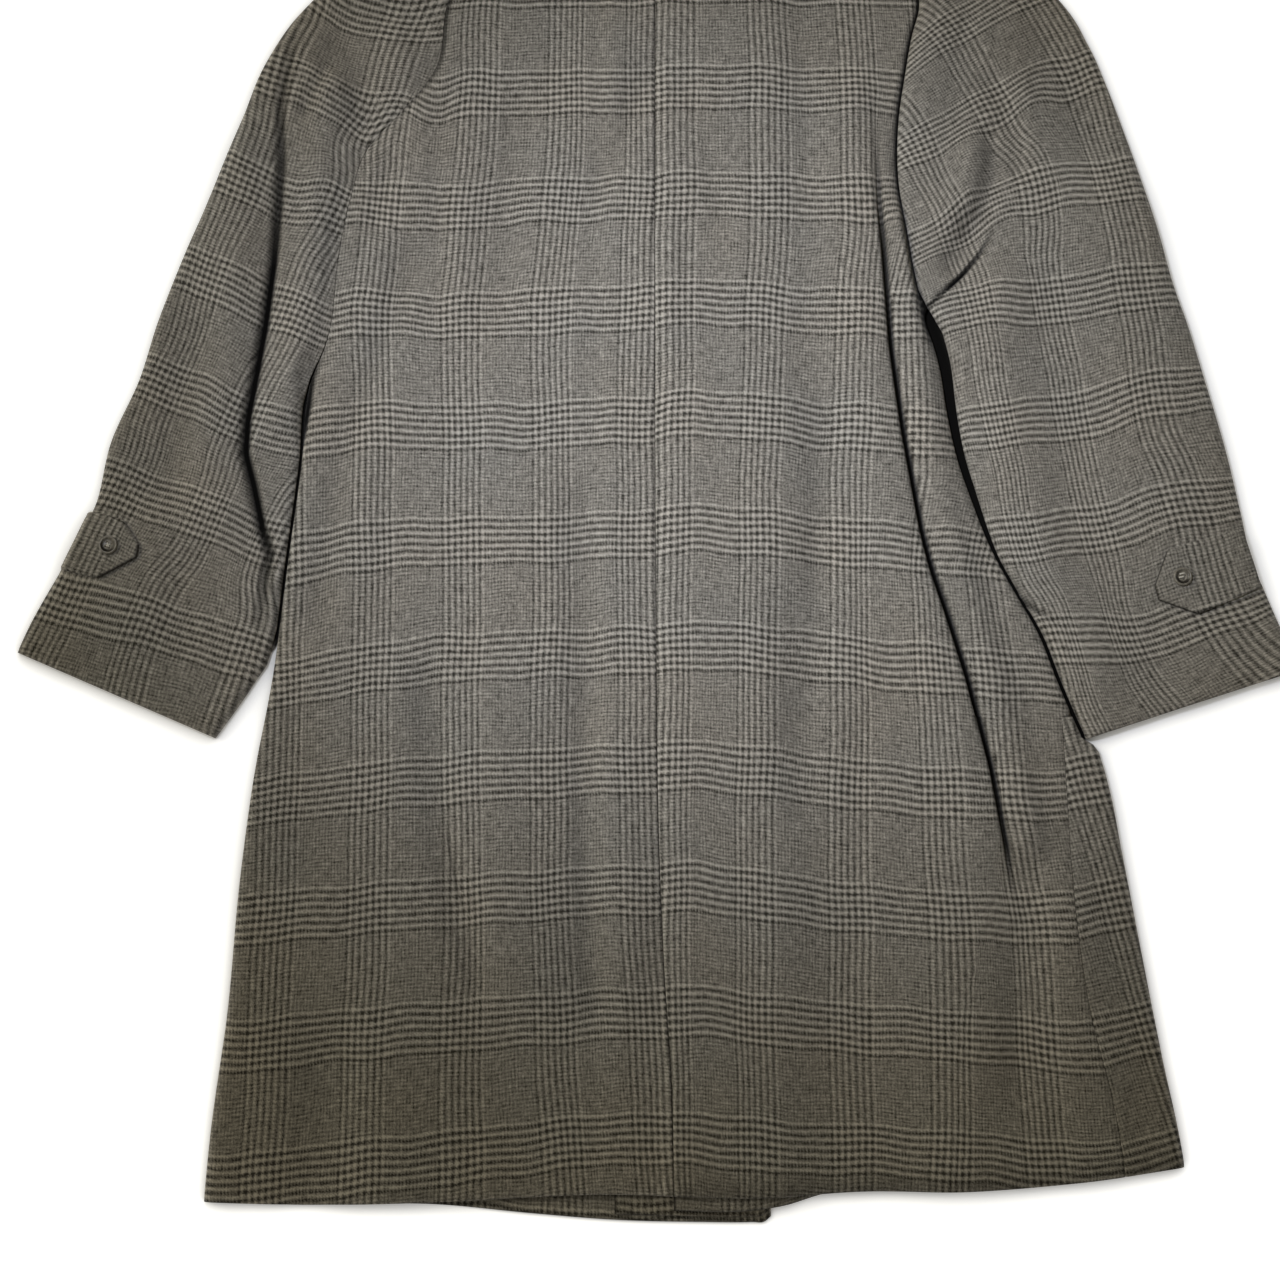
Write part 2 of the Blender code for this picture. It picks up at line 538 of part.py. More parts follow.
def sleeve_lines(side):
    """Outer and inner line of a sleeve, its crease shares and its raglan weight.

    The rows' inner ends lie at even heights up to the underarm and at the
    body's own rows above it.
    """
    sign, rows, outline, underarm = SLEEVES[side][:4]
    knots = np.arange(len(rows["outer_x"]), dtype=float)
    cuff = rows["inner_y"][0]
    neck = rows["inner_y"][-1]
    inner_y = np.concatenate([[cuff, cuff + CUFF_RISE], SLEEVE_ROWS, UPPER_ROWS[UPPER_ROWS < neck], [neck]])
    at = np.interp(inner_y, rows["inner_y"], knots)
    outer = np.stack([smooth(at, knots, rows["outer_x"]), smooth(at, knots, rows["outer_y"])], axis=1)
    gap = np.maximum(np.interp(at, knots, rows["gap"]), 0)
    sewn = ease(inner_y, underarm + SEWN_FROM, underarm + SEWN_BY)
    inner = np.stack([body_edge(inner_y, outline) + sign * gap, inner_y], axis=1)
    return outer, inner, gap, np.interp(at, knots, rows["crease"]), sewn


def sleeve_under(side):
    """The layer that lies on the table, up to the body's own where the gap is narrow."""
    sign = SLEEVES[side][0]
    outer, inner, gap, _, sewn = sleeve_lines(side)
    closed = gap * (1 - ease(gap, CLOSED_GAP, OPEN_GAP))
    inner[:, 0] += sign * (SEAM * (1 - sewn / 2) - closed)
    share = np.array([0, 0.5, 1.0])
    plan = outer[:, None] + (inner - outer)[:, None] * share[None, :, None]
    middle = np.concatenate([plan, np.full((*plan.shape[:2], 1), WALL / 2)], axis=2)
    cloth(f"sleeve_{side}_front", middle, upright=np.ones(plan.shape[:2], dtype=bool))


def sleeve_upper(side):
    """The layer that shows: turned down at its folds, dipped at the seam."""
    underarm, folds = SLEEVES[side][3:]
    outer, inner, _, crease, sewn = sleeve_lines(side)
    laps_back = 1.0 if side == "right" else 0.0
    over = laps_back * ease(inner[:, 1], underarm - 0.075, underarm - 0.036)
    folded = np.maximum(1 - sewn, laps_back)
    direction = inner - outer
    direction /= np.linalg.norm(direction, axis=1, keepdims=True)
    start = outer + direction * WALL / 2
    end = inner - direction * (WALL * folded + SEAM * (1 - folded))[:, None] / 2
    width = np.linalg.norm(end - start, axis=1)
    turn = np.minimum(EDGE_TURN, 0.25 * width)
    reach = np.minimum(0.006, 0.05 * width)
    spot = np.clip(crease * width, turn + 3 * reach, width - turn - 2 * reach)
    stops = [turn * share for share in OUTER_SHARES] + [spot - reach, spot, spot + reach]
    stops += [width - turn * share for share in TURN_SHARES]
    across = spread(stops, (1, 1, 1, 1, 5, 1, 1, 3, 1, 1, 1, 1))
    x = start[:, :1] + direction[:, :1] * across
    y = start[:, 1:] + direction[:, 1:] * across
    from_inner = width[:, None] - across
    calm = neck_calm(y)
    high = BACK_LOW + upper_loft(x, y, folds) * calm + 0.0003 * (1 - calm)
    high = high + (SLEEVE_OVER - BACK_LOW) * over[:, None] * (1 - ease(from_inner, 0.014, 0.045))
    end_low = FOLD_END + (SLEEVE_OVER_END - FOLD_END) * over
    folded_z = turned_edge(from_inner, high, end_low[:, None], turn[:, None])
    sewn_z = dipped_seam(from_inner, high, SEAM_LOW)
    z = folded_z * folded[:, None] + sewn_z * (1 - folded[:, None])
    z = turned_edge(across, z, FOLD_END, turn[:, None])
    upright = np.zeros(x.shape, dtype=bool)
    upright[:, -1] = folded < 0.5
    cloth(f"sleeve_{side}_back", np.stack([x, y, z], axis=2), upright=upright)


for side in SLEEVES:
    sleeve_under(side)
    sleeve_upper(side)


# Collar: one band that stands up from the neck seam, folds over at its top
# and falls back over the coat
def collar():
    """The flattened collar, as a strip of sections from end to end."""
    x = COLLAR_HALF * np.sin(np.radians(np.linspace(-90, 90, 21)))
    seam = np.full_like(x, NECK + SEAM)
    top = COLLAR_TOP - 1.8 * x ** 2 - COLLAR_TURN
    fall_end = FALL_EDGE + 1.0 * x ** 2 + 0.030 * (np.abs(x) / COLLAR_HALF) ** 8
    angle = np.radians(np.arange(0, 181, 36))
    fall_shares = np.array([0.25, 0.5, 0.75, 1.0])
    stand = seam[:, None] + (top - seam)[:, None] * np.array([0, 0.5])[None, :]
    fold = top[:, None] + COLLAR_TURN * np.sin(angle)[None, :]
    fall = top[:, None] + (fall_end - top)[:, None] * fall_shares[None, :]
    y = np.concatenate([stand, fold, fall], axis=1)
    x = np.broadcast_to(x[:, None], y.shape)
    low = BACK_LOW + 0.0006
    turned = low + COLLAR_TURN * (1 - np.cos(angle))
    level = np.concatenate([np.full(2, low), turned, np.full(len(fall_shares), turned[-1])])
    z = level[None, :] + lap_height(x, y)
    cloth("collar", np.stack([x, y, z], axis=2))


collar()


# Tabs: pointed, one on each sleeve, wrapped over its outer fold
def on_sleeve(side, x, y):
    """Middle points of a sleeve's upper layer, away from its inner fold."""
    folds = SLEEVES[side][4]
    outer = sleeve_lines(side)[0]
    across = line_distance(x, y, outer) - WALL / 2
    z = turned_edge(across, BACK_LOW + upper_loft(x, y, folds), FOLD_END)
    return np.stack([x, y, z], axis=2)


def laid_on(middle, height):
    """The same points, moved out along the surface's normals."""
    normal = np.cross(np.gradient(middle, axis=1), np.gradient(middle, axis=0))
    normal /= np.linalg.norm(normal, axis=2, keepdims=True)
    normal *= np.sign(normal[:, :, 2].mean())
    return middle + normal * height


def tab(side):
    """A pointed tab: rows from the sleeve's fold to the point."""
    edges = TABS[side]
    knots = np.array([0.0, 0.60, 1.0])
    share = np.array([0.02, 0.06, 0.12, 0.2, 0.3, 0.45, 0.60, 0.7, 0.8, 0.9, 1.0])
    upper = [np.interp(share, knots, edges["upper_" + axis]) for axis in "xy"]
    lower = [np.interp(share, knots, edges["lower_" + axis]) for axis in "xy"]
    across = np.linspace(0, 1, 7)[None, :]
    x = upper[0][:, None] + (lower[0] - upper[0])[:, None] * across
    y = upper[1][:, None] + (lower[1] - upper[1])[:, None] * across
    middle = laid_on(on_sleeve(side, x, y), WALL / 2 + TAB_CLEAR + TAB_WALL / 2)
    cloth(f"sleeve_tab_{side}", middle, wall=TAB_WALL)


# Buttons: turned, with a raised rim and a shallow dish, sewn on the tabs
BUTTON_PROFILE = table(
    "r z",
    (0.00, 0.00), (0.78, 0.00), (1.00, 0.42), (1.00, 0.72), (0.90, 1.00), (0.74, 0.96),
    (0.60, 0.66), (0.00, 0.58),
)


def button(side, sides=16):
    """A disc of BUTTON_PROFILE turned about an upright line, on its tab."""
    centre_x, centre_y = BUTTON_CENTRES[side]
    reach = np.array([[-1.0, 0.0, 1.0]]) * BUTTON_RADIUS
    around = on_sleeve(side, centre_x + np.repeat(reach, 3, axis=0), centre_y + np.repeat(reach.T, 3, axis=1))
    base = around[:, :, 2].max() + WALL / 2 + TAB_CLEAR + TAB_WALL + CLEAR
    angle = np.linspace(0, 2 * np.pi, sides, endpoint=False)
    radius = BUTTON_PROFILE["r"][1:-1] * BUTTON_RADIUS
    height = BUTTON_PROFILE["z"] * BUTTON_HEIGHT
    rings = [np.stack([r * np.cos(angle), r * np.sin(angle), np.full(sides, h)], axis=1)
             for r, h in zip(radius, height[1:-1])]
    points = np.concatenate(rings + [[(0, 0, height[0])], [(0, 0, height[-1])]])
    points += (centre_x, centre_y, base)
    low_pole = sides * len(rings)
    top_ring = sides * (len(rings) - 1)
    faces = []
    for k in range(sides):
        turn = (k + 1) % sides
        faces.append((low_pole, turn, k))
        faces.append((low_pole + 1, top_ring + k, top_ring + turn))
        for ring in range(len(rings) - 1):
            low, high = ring * sides, (ring + 1) * sides
            faces.append((low + k, low + turn, high + turn, high + k))
    add_object(f"sleeve_button_{side}", points, faces, BUTTON_COLOUR, roughness=0.4)


for side in SLEEVES:
    tab(side)
    button(side)
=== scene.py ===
"""Looks of a raglan overcoat in a glen check, laid flat on its front."""

import bpy
import numpy as np
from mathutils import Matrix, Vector


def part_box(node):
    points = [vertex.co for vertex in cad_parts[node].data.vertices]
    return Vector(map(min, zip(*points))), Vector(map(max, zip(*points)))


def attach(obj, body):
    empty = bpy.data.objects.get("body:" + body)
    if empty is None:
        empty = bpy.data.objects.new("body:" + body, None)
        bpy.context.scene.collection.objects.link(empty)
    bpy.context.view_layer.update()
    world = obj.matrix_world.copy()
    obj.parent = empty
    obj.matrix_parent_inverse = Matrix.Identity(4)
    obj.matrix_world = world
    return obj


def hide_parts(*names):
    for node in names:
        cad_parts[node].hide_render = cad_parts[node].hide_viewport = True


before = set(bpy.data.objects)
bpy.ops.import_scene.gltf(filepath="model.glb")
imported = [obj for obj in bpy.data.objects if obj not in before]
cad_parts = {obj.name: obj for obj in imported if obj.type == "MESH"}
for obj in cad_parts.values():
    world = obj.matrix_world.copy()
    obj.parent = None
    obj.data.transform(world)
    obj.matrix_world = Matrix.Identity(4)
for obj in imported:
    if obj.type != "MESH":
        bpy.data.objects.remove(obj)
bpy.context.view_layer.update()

# Left back
# Half of the coat's back, a lined wool panel in a glen check: cut with its warp
# upright, sewn along the centre and up the raglan seam, and laid over the front.
WALL = 0.0025                # thickness of the lined cloth
SEAM = 0.0004                # gap between two pieces that are sewn together
CLEAR = 0.0003               # gap between two layers that lie on each other
LAYER = WALL + CLEAR
EDGE_TURN = 0.008            # how far in from a folded edge the cloth begins to turn down
LOFT = 0.0040                # how far the upper cloth stands off its lowest place
LEAST_LOFT = 0.0003          # what is left of that in a closed crease
HEM = -0.402
NECK = 0.664
LAP_EDGE = 0.081             # front edge of the left front, under everything
RIGHT_EDGE = 0.012           # front edge of the right front, on the left one's facing
FACING_EDGE = -0.030         # inner edge of the left front's facing
LAP_RAMP = 0.042             # width over which the right front comes down to the table
LAP_END = 0.580              # where the necklines part, so that the fronts no longer overlap
BACK_LOW = WALL / 2 + LAYER
FOLD_END = WALL + 0.0014     # middle height at which a folded edge ends
SEAM_LOW = BACK_LOW + 0.0010
LEFT_SEAM_LIFT = 0.0016      # how much higher the left raglan seam lies above the underarm
SEAM_SHADE = (0.0014, 0.0052)  # where the shade beside a sleeve's seam starts to fade and has gone
WARP_REPEAT = 0.0688         # one check across the cloth
WEFT_REPEAT = 0.0883         # one check along the cloth
CHECK_ENDS = 116             # yarns in one check across
CHECK_PICKS = 128            # yarns in one check along
WIDE_YARNS = 56              # how many of them run four dark, four light
TURN_ANGLES = np.radians([90, 75, 60, 45, 32, 20, 10, 0])
TURN_SHARES = 1 - np.cos(TURN_ANGLES)
SLIT_STEPS = np.array([0.0, 0.5, 1.0, 1.6, 2.3, 3.1, 4.2, 6.0, 8.5, 12.0]) / 1000
SLIT_ROOM = 0.0135           # least way from a crease to where the cloth turns down at an edge
PAINTED_SHADE = (0.0015, 0.0012, 0.001)  # colour of the painted shade deep in folds, creases and gaps


def table(columns, *rows):
    """A small table as a dictionary of columns."""
    return dict(zip(columns.split(), np.array(rows, dtype=float).T))


BODY_LEFT = table(
    "y x",
    (-0.425, -0.3235), (-0.356, -0.3190), (-0.276, -0.3100), (-0.179, -0.3040),
    (-0.102, -0.2960), (-0.032, -0.2850), (0.060, -0.2755), (0.130, -0.2680),
    (0.199, -0.2620), (0.225, -0.2520), (0.301, -0.2430), (0.346, -0.2350),
    (0.387, -0.2220), (0.417, -0.1960), (0.446, -0.1740), (0.509, -0.1620),
    (0.590, -0.1200), (0.664, -0.0790),
)
CENTRE_BACK = table(
    "y x",
    (-0.425, 0.0120), (-0.325, 0.0105), (-0.237, 0.0050), (-0.120, 0.0010),
    (0.000, 0.0000), (0.664, 0.0000),
)
HEM_WAVE = table(
    "x y",
    (-0.330, -0.4060), (-0.263, -0.4080), (-0.153, -0.4060), (-0.040, -0.4010),
    (0.081, -0.4030), (0.144, -0.3990), (0.220, -0.3990), (0.308, -0.3920),
    (0.385, -0.3810),
)
UNDERARM_LEFT = 0.200
UNDERARM_RIGHT = 0.262
OVERLAP = 0.010              # how far the right back runs on under the sleeve

# Where folds bunch beside the seams, and how far they draw the check
BUNCHED = table(
    "x y reach pull",
    (-0.222, 0.395, 0.045, 0.0035), (0.245, 0.345, 0.050, 0.0028), (0.300, 0.420, 0.045, 0.0022),
    (-0.165, 0.440, 0.050, 0.0015), (0.160, 0.300, 0.040, 0.0010),
)

# Folds of the backs: height or depth, half-width, and a line of points
BODY_FOLDS = (
    (0.0066, 0.0230, ((0.150, 0.420), (0.158, 0.265), (0.168, 0.158), (0.182, 0.082), (0.200, 0.010),
                      (0.222, -0.070), (0.238, -0.150))),
    (0.0060, 0.0130, ((0.187, 0.330), (0.194, 0.250), (0.206, 0.150), (0.217, 0.090), (0.236, 0.020),
                      (0.258, -0.070), (0.272, -0.150))),
    (-0.0030, 0.0150, ((0.268, -0.180), (0.262, -0.260), (0.258, -0.330))),
    (0.0034, 0.0300, ((0.295, -0.200), (0.300, -0.300), (0.305, -0.400))),
    (0.0048, 0.0350, ((0.215, -0.240), (0.218, -0.330), (0.222, -0.400))),
    (-0.0036, 0.0100, ((0.128, 0.180), (0.122, 0.080), (0.116, 0.000), (0.108, -0.060))),
    (-0.0056, 0.0110, ((-0.060, 0.110), (-0.056, -0.040), (-0.054, -0.140), (-0.050, -0.230),
                       (-0.044, -0.270))),
    (0.0050, 0.0220, ((-0.028, -0.080), (-0.024, -0.180), (-0.022, -0.240))),
    (-0.0045, 0.0120, ((-0.172, -0.030), (-0.158, -0.150), (-0.144, -0.205), (-0.130, -0.250))),
    (0.0042, 0.0300, ((-0.110, -0.040), (-0.108, -0.140), (-0.100, -0.240))),
    (0.0045, 0.0260, ((-0.205, 0.240), (-0.225, 0.130), (-0.232, 0.040))),
    (-0.0053, 0.0140, ((-0.190, 0.300), (-0.212, 0.220), (-0.240, 0.130), (-0.252, 0.020))),
    (0.0039, 0.0400, ((-0.180, -0.260), (-0.190, -0.400))),
    (-0.0039, 0.0180, ((-0.110, 0.420), (-0.122, 0.330), (-0.128, 0.250))),
    (-0.0036, 0.0250, ((-0.270, -0.060), (-0.262, -0.160))),
    (-0.0036, 0.0260, ((-0.244, -0.300), (-0.250, -0.400))),
    (-0.0024, 0.0100, ((-0.166, 0.420), (-0.168, 0.330), (-0.172, 0.250))),
    (-0.0021, 0.0080, ((-0.205, 0.372), (-0.214, 0.345), (-0.216, 0.320))),
    (-0.0033, 0.0120, ((-0.006, 0.450), (-0.026, 0.400), (-0.043, 0.355))),
    (-0.0030, 0.0130, ((0.022, 0.430), (0.038, 0.380), (0.050, 0.330))),
    (0.0033, 0.0200, ((-0.010, 0.360), (0.004, 0.300), (0.006, 0.240))),
    (-0.0033, 0.0140, ((0.094, 0.030), (0.100, -0.040), (0.104, -0.120))),
    (-0.0018, 0.0100, ((0.150, -0.060), (0.146, -0.160), (0.138, -0.250))),
)

# Creases that close into a slit, dark from its depth and from painted shade: half-width, and points
# with the depth there, as a share of the cloth's height over what it lies on
LEFT_BACK_SLITS = (
    (0.0024, ((-0.160, -0.110, 0.0), (-0.152, -0.150, 0.35), (-0.146, -0.182, 0.5), (-0.138, -0.206, 0.0))),
    (0.0040, ((-0.2560, 0.2160, 0.0), (-0.2600, 0.2057, 0.9), (-0.2630, 0.1780, 1.0), (-0.2683, 0.1466, 1.0),
              (-0.2740, 0.1200, 0.5), (-0.2800, 0.0900, 0.0))),
)


def smooth(at, knots, values):
    """Cubic curve through a table's points, with each point's mean slope."""
    slopes = np.gradient(values, knots)
    at = np.clip(at, knots[0], knots[-1])
    k = np.clip(np.searchsorted(knots, at, side="right") - 1, 0, len(knots) - 2)
    span = knots[k + 1] - knots[k]
    t = (at - knots[k]) / span
    start = values[k] * (1 + 2 * t) * (1 - t) ** 2 + slopes[k] * span * t * (1 - t) ** 2
    end = values[k + 1] * t * t * (3 - 2 * t) - slopes[k + 1] * span * t * t * (1 - t)
    return start + end


def ease(at, low, high):
    """0 below low, 1 above high, with a soft start and end between them."""
    t = np.clip((at - low) / (high - low), 0, 1)
    return t * t * (3 - 2 * t)


def nearest(x, y, points):
    """Distance to a line of points, and the points' third value at the nearest place."""
    distance = np.full_like(x, np.inf)
    value = np.zeros_like(x)
    for a, b in zip(points[:-1], points[1:]):
        along_x, along_y = b[0] - a[0], b[1] - a[1]
        t = ((x - a[0]) * along_x + (y - a[1]) * along_y) / (along_x ** 2 + along_y ** 2)
        t = np.clip(t, 0, 1)
        here = np.hypot(x - a[0] - t * along_x, y - a[1] - t * along_y)
        value = np.where(here < distance, a[-1] + t * (b[-1] - a[-1]), value)
        distance = np.minimum(here, distance)
    return distance, value


def wrinkles(x, y):
    """Low uneven ripples, longer up the coat than across it."""
    wave = np.sin(96 * x + 9 * y + 1.6 * np.sin(11 * y + 3.0))
    wave = wave + 0.8 * np.sin(157 * x - 14 * y + 2.1 * np.sin(17 * y + 40 * x))
    wave = wave + 0.5 * np.sin(60 * x + 47 * y + 1.0)
    return 0.00032 * wave


def slit_depth(x, y, slits):
    """How far the cloth goes down in its closed creases, from 0 to 1."""
    depth = np.zeros_like(x)
    for width, points in slits:
        distance, share = nearest(x, y, points)
        depth = np.maximum(depth, share * (1 - ease(distance, 0.2 * width, width)))
    return depth


def loft(x, y, folds):
    """Height of the upper cloth over its lowest place: folds and wrinkles, never below 0."""
    height = LOFT + wrinkles(x, y)
    for lift, width, points in folds:
        height = height + lift * np.exp(-(nearest(x, y, points)[0] / width) ** 2)
    return 0.5 * (height + np.hypot(height, 0.0008))


def trough_shade(x, y, folds):
    """How much painted shade lies in the troughs among the folds, as a share."""
    dark = np.zeros_like(x)
    for lift, width, points in folds:
        dark = np.maximum(dark, -24 * lift * np.exp(-(nearest(x, y, points)[0] / (0.8 * width)) ** 2))
    return dark


def lap_height(x, y):
    """Height that the lapped fronts and the facing add under the back."""
    facing = LAYER * ease(x, FACING_EDGE - 0.016, FACING_EDGE - 0.003)
    right_front = LAYER * ease(x, RIGHT_EDGE - 0.010, RIGHT_EDGE - 0.002)
    past_edge = 1 - ease(x, LAP_EDGE + 0.002, LAP_EDGE + LAP_RAMP)
    return (facing + right_front) * past_edge * (1 - ease(y, LAP_END, LAP_END + 0.035))


def turned_edge(distance, high, low, turn=EDGE_TURN):
    """Quarter of an ellipse from the height low at an edge up to high inside it."""
    inside = np.clip(distance / turn, 0, 1)
    return low + (high - low) * np.sqrt(1 - (1 - inside) ** 2)


def neck_calm(y):
    """1 over most of the coat, falling to 0 where the layers lie flat at the neck."""
    return ease(NECK - y, 0.02, 0.10)


def follow_hem(x, y, line):
    """Rows moved up or down to a hem line, less and less up to 10 cm above it."""
    return y + (smooth(x, line["x"], line["y"]) - HEM) * (1 - ease(y, HEM, HEM + 0.10))


def runs(x, knots, values, made):
    """Straight runs from value to value between knots, added to what is there before the first one."""
    for low, high, start, end in zip(knots[:-1], knots[1:], values[:-1], values[1:]):
        made = made + (end - start) * np.clip((x - low) / (high - low), 0, 1)
    return made


def between(x, knots, values):
    """Straight runs through knots that differ from row to row, and on past the outer ones."""
    made = runs(x, knots, values, values[0] + np.minimum(x - knots[0], 0))
    return made + np.maximum(x - knots[-1], 0)


def rows_up(edge, top, count):
    """Rows from a hem or cuff up to a top line: close together at the edge, then even."""
    close = edge + np.array([0, 0.0015, 0.0035, 0.006])
    return np.concatenate([close, np.linspace(edge + 0.010, top, count)])


def spread(stops, counts):
    """Columns across a piece: even steps from each stop to the next, row by row."""
    steps = []
    for start, end, count in zip(stops[:-1], stops[1:], counts):
        steps.append(start[:, None] + (end - start)[:, None] * np.arange(count) / count)
    return np.concatenate(steps + [stops[-1][:, None]], axis=1)


def crossing(start, direction, width, line, margin):
    """Where each row passes nearest to a line, measured from the row's start."""
    share = np.linspace(0, 1, 160)[None, :] * width[:, None]
    x = start[:, :1] + direction[:, :1] * share
    y = start[:, 1:] + direction[:, 1:] * share
    at = np.take_along_axis(share, nearest(x, y, line)[0].argmin(axis=1)[:, None], axis=1)[:, 0]
    padded = np.pad(at, 4, mode="edge")
    at = np.convolve(padded, np.ones(9) / 9, mode="valid")
    return np.clip(at, margin, width - margin)


def slit_columns(at, lead, tail, lead_count, tail_count, scale=1.0):
    """Columns with fine steps beside the crease at `at`, between two other sets of stops."""
    beside = [at - step * scale for step in SLIT_STEPS[:0:-1]] + [at + step * scale for step in SLIT_STEPS]
    counts = [1] * (len(lead) - 1) + [lead_count] + [1] * (len(beside) - 1)
    return spread(lead + beside + tail, counts + [tail_count] + [1] * (len(tail) - 1))


def lips(beside, x, y, line, reach, width, pull):
    """Step that draws the two lips of a crease towards it, for points so far beside it."""
    lip = np.exp(-((np.abs(beside) - reach) / width) ** 2) * (1 - np.exp(-(beside / 0.0010) ** 2))
    distance, depth = nearest(x, y, line)
    return -np.sign(beside) * lip * depth * (distance < 0.012) * pull


def seam_level(side, y):
    """Height of a raglan seam's middle over the table, on the left (-1) or right (1)."""
    return SEAM_LOW + LEFT_SEAM_LIFT * (side < 0) * ease(y, UNDERARM_LEFT, UNDERARM_LEFT + 0.03)


def pressed(distance):
    """How much a hem is pressed down, by the distance to its edge."""
    return 0.0014 * np.exp(-(distance / 0.003) ** 2)


def side_groove(distance):
    """Depth of the side seam's groove, by the distance to the seam."""
    return 0.0011 * np.exp(-(distance / 0.0028) ** 2)


def surface_normal(points):
    """Upward unit normals of a grid of points."""
    normal = np.cross(np.gradient(points, axis=1), np.gradient(points, axis=0))
    normal /= np.linalg.norm(normal, axis=2, keepdims=True)
    return normal * np.sign(normal[:, :, 2].mean())


def drawn(x, y):
    pull = 0.0007 * np.ones_like(x)
    for place_x, place_y, reach, more in zip(*BUNCHED.values()):
        pull = pull + more * np.exp(-((x - place_x) ** 2 + (y - place_y) ** 2) / reach ** 2)
    along = np.sin(88 * x + 21 * y + 1.3 * np.sin(19 * y)) + 0.6 * np.sin(141 * x - 33 * y + 2.0)
    across = np.sin(47 * y + 18 * x + 0.9 * np.sin(23 * x)) + 0.5 * np.sin(83 * y - 25 * x + 1.0)
    return np.stack([0.6 * pull * across, pull * along], axis=-1)


def shell(name, top, inward, uv, material, wall=WALL, shade=None):
    """Closed sheet of cloth: a grid of points, the same grid moved inward by the wall, and a rim.

    The first UV map holds cloth positions, the second (named fold) how much painted shade each point gets.
    """
    rows, columns = top.shape[:2]
    points = np.concatenate([top.reshape(-1, 3), (top + inward * wall).reshape(-1, 3)])
    index = np.arange(rows * columns).reshape(rows, columns)
    upper = np.stack([index[:-1, :-1], index[:-1, 1:], index[1:, 1:], index[1:, :-1]], axis=-1)
    upper = upper.reshape(-1, 4)
    lower = upper[:, ::-1] + rows * columns
    rim = np.concatenate([index[0, :], index[1:, -1], index[-1, -2::-1], index[-2::-1, 0]])
    sides = np.stack([rim[1:], rim[:-1], rim[:-1] + rows * columns, rim[1:] + rows * columns], axis=-1)
    faces = np.concatenate([upper, lower, sides])
    a, b, c = (points[faces[:, k]] for k in range(3))
    d = points[faces[:, 3]]
    volume = np.einsum("ij,ij->", a, np.cross(b, c)) + np.einsum("ij,ij->", a, np.cross(c, d))
    if volume < 0:
        faces = faces[:, ::-1]
    mesh = bpy.data.meshes.new(name)
    mesh.vertices.add(len(points))
    mesh.vertices.foreach_set("co", points.ravel())
    mesh.loops.add(faces.size)
    mesh.loops.foreach_set("vertex_index", faces.ravel())
    mesh.polygons.add(len(faces))
    mesh.polygons.foreach_set("loop_start", np.arange(0, faces.size, 4))
    mesh.update(calc_edges=True)
    both = np.tile((uv + drawn(top[:, :, 0], top[:, :, 1])).reshape(-1, 2), (2, 1))
    mesh.uv_layers.new(name="cloth").data.foreach_set("uv", both[faces.ravel()].ravel())
    # Painted shade: how dark each point is painted, carried in the fold map
    fold_shade = np.zeros((rows * columns, 2))
    fold_shade[:, 0] = 0 if shade is None else np.clip(shade, 0, 1).ravel()
    fold_shade = np.tile(fold_shade, (2, 1))
    mesh.uv_layers.new(name="fold").data.foreach_set("uv", fold_shade[faces.ravel()].ravel())
    mesh.materials.append(material)
    mesh.shade_smooth()
    made = bpy.data.objects.new(name, mesh)
    bpy.context.scene.collection.objects.link(made)
    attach(made, "root")
    return made


def new_material(name):
    """A node material: itself, its node tree and its Principled BSDF."""
    made = bpy.data.materials.new(name)
    made.use_nodes = True
    return made, made.node_tree, made.node_tree.nodes["Principled BSDF"]


def relief(tree, shader, height, strength, distance):
    """Bump from a height socket on a shader."""
    bump = tree.nodes.new("ShaderNodeBump")
    bump.inputs["Strength"].default_value = strength
    bump.inputs["Distance"].default_value = distance
    tree.links.new(height, bump.inputs["Height"])
    tree.links.new(bump.outputs[0], shader.inputs["Normal"])


def axes_of(tree, vector):
    """Outputs for the first two values of a vector socket."""
    parts = tree.nodes.new("ShaderNodeSeparateXYZ")
    tree.links.new(vector, parts.inputs[0])
    return parts.outputs[0], parts.outputs[1]


def uv_place(tree, name):
    """Output of one of the cloth's UV maps."""
    node = tree.nodes.new("ShaderNodeUVMap")
    node.uv_map = name
    return node.outputs[0]


def clamped(tree, value):
    """A value kept between 0 and 1."""
    node = tree.nodes.new("ShaderNodeClamp")
    tree.links.new(value, node.inputs[0])
    return node.outputs[0]


def calc(tree, operation, a, b=None):
    """Output of a math node; a and b are sockets or numbers."""
    node = tree.nodes.new("ShaderNodeMath")
    node.operation = operation
    for socket, value in zip(node.inputs, (a, b)):
        if isinstance(value, bpy.types.NodeSocket):
            tree.links.new(value, socket)
        elif value is not None:
            socket.default_value = value
    return node.outputs[0]


def noise(tree, vector, scale, detail=2.0):
    """Factor of a noise texture over a vector socket."""
    node = tree.nodes.new("ShaderNodeTexNoise")
    node.inputs["Scale"].default_value = scale
    node.inputs["Detail"].default_value = detail
    tree.links.new(vector, node.inputs["Vector"])
    return node.outputs["Factor" if "Factor" in node.outputs else "Fac"]


def mix(tree, factor, a, b, blend="MIX"):
    """Colour between a and b by a factor."""
    node = tree.nodes.new("ShaderNodeMix")
    node.data_type = "RGBA"
    node.blend_type = blend
    for socket, value in ((node.inputs[0], factor), (node.inputs[6], a), (node.inputs[7], b)):
        if isinstance(value, bpy.types.NodeSocket):
            tree.links.new(value, socket)
        elif isinstance(value, tuple):
            socket.default_value = (*value, 1.0)
        else:
            socket.default_value = value
    return node.outputs[2]


def choose(tree, factor, a, b):
    """a where the factor is 1 and b where it is 0, for plain values."""
    return calc(tree, "ADD", calc(tree, "MULTIPLY", factor, a),
                calc(tree, "MULTIPLY", calc(tree, "SUBTRACT", 1.0, factor), b))


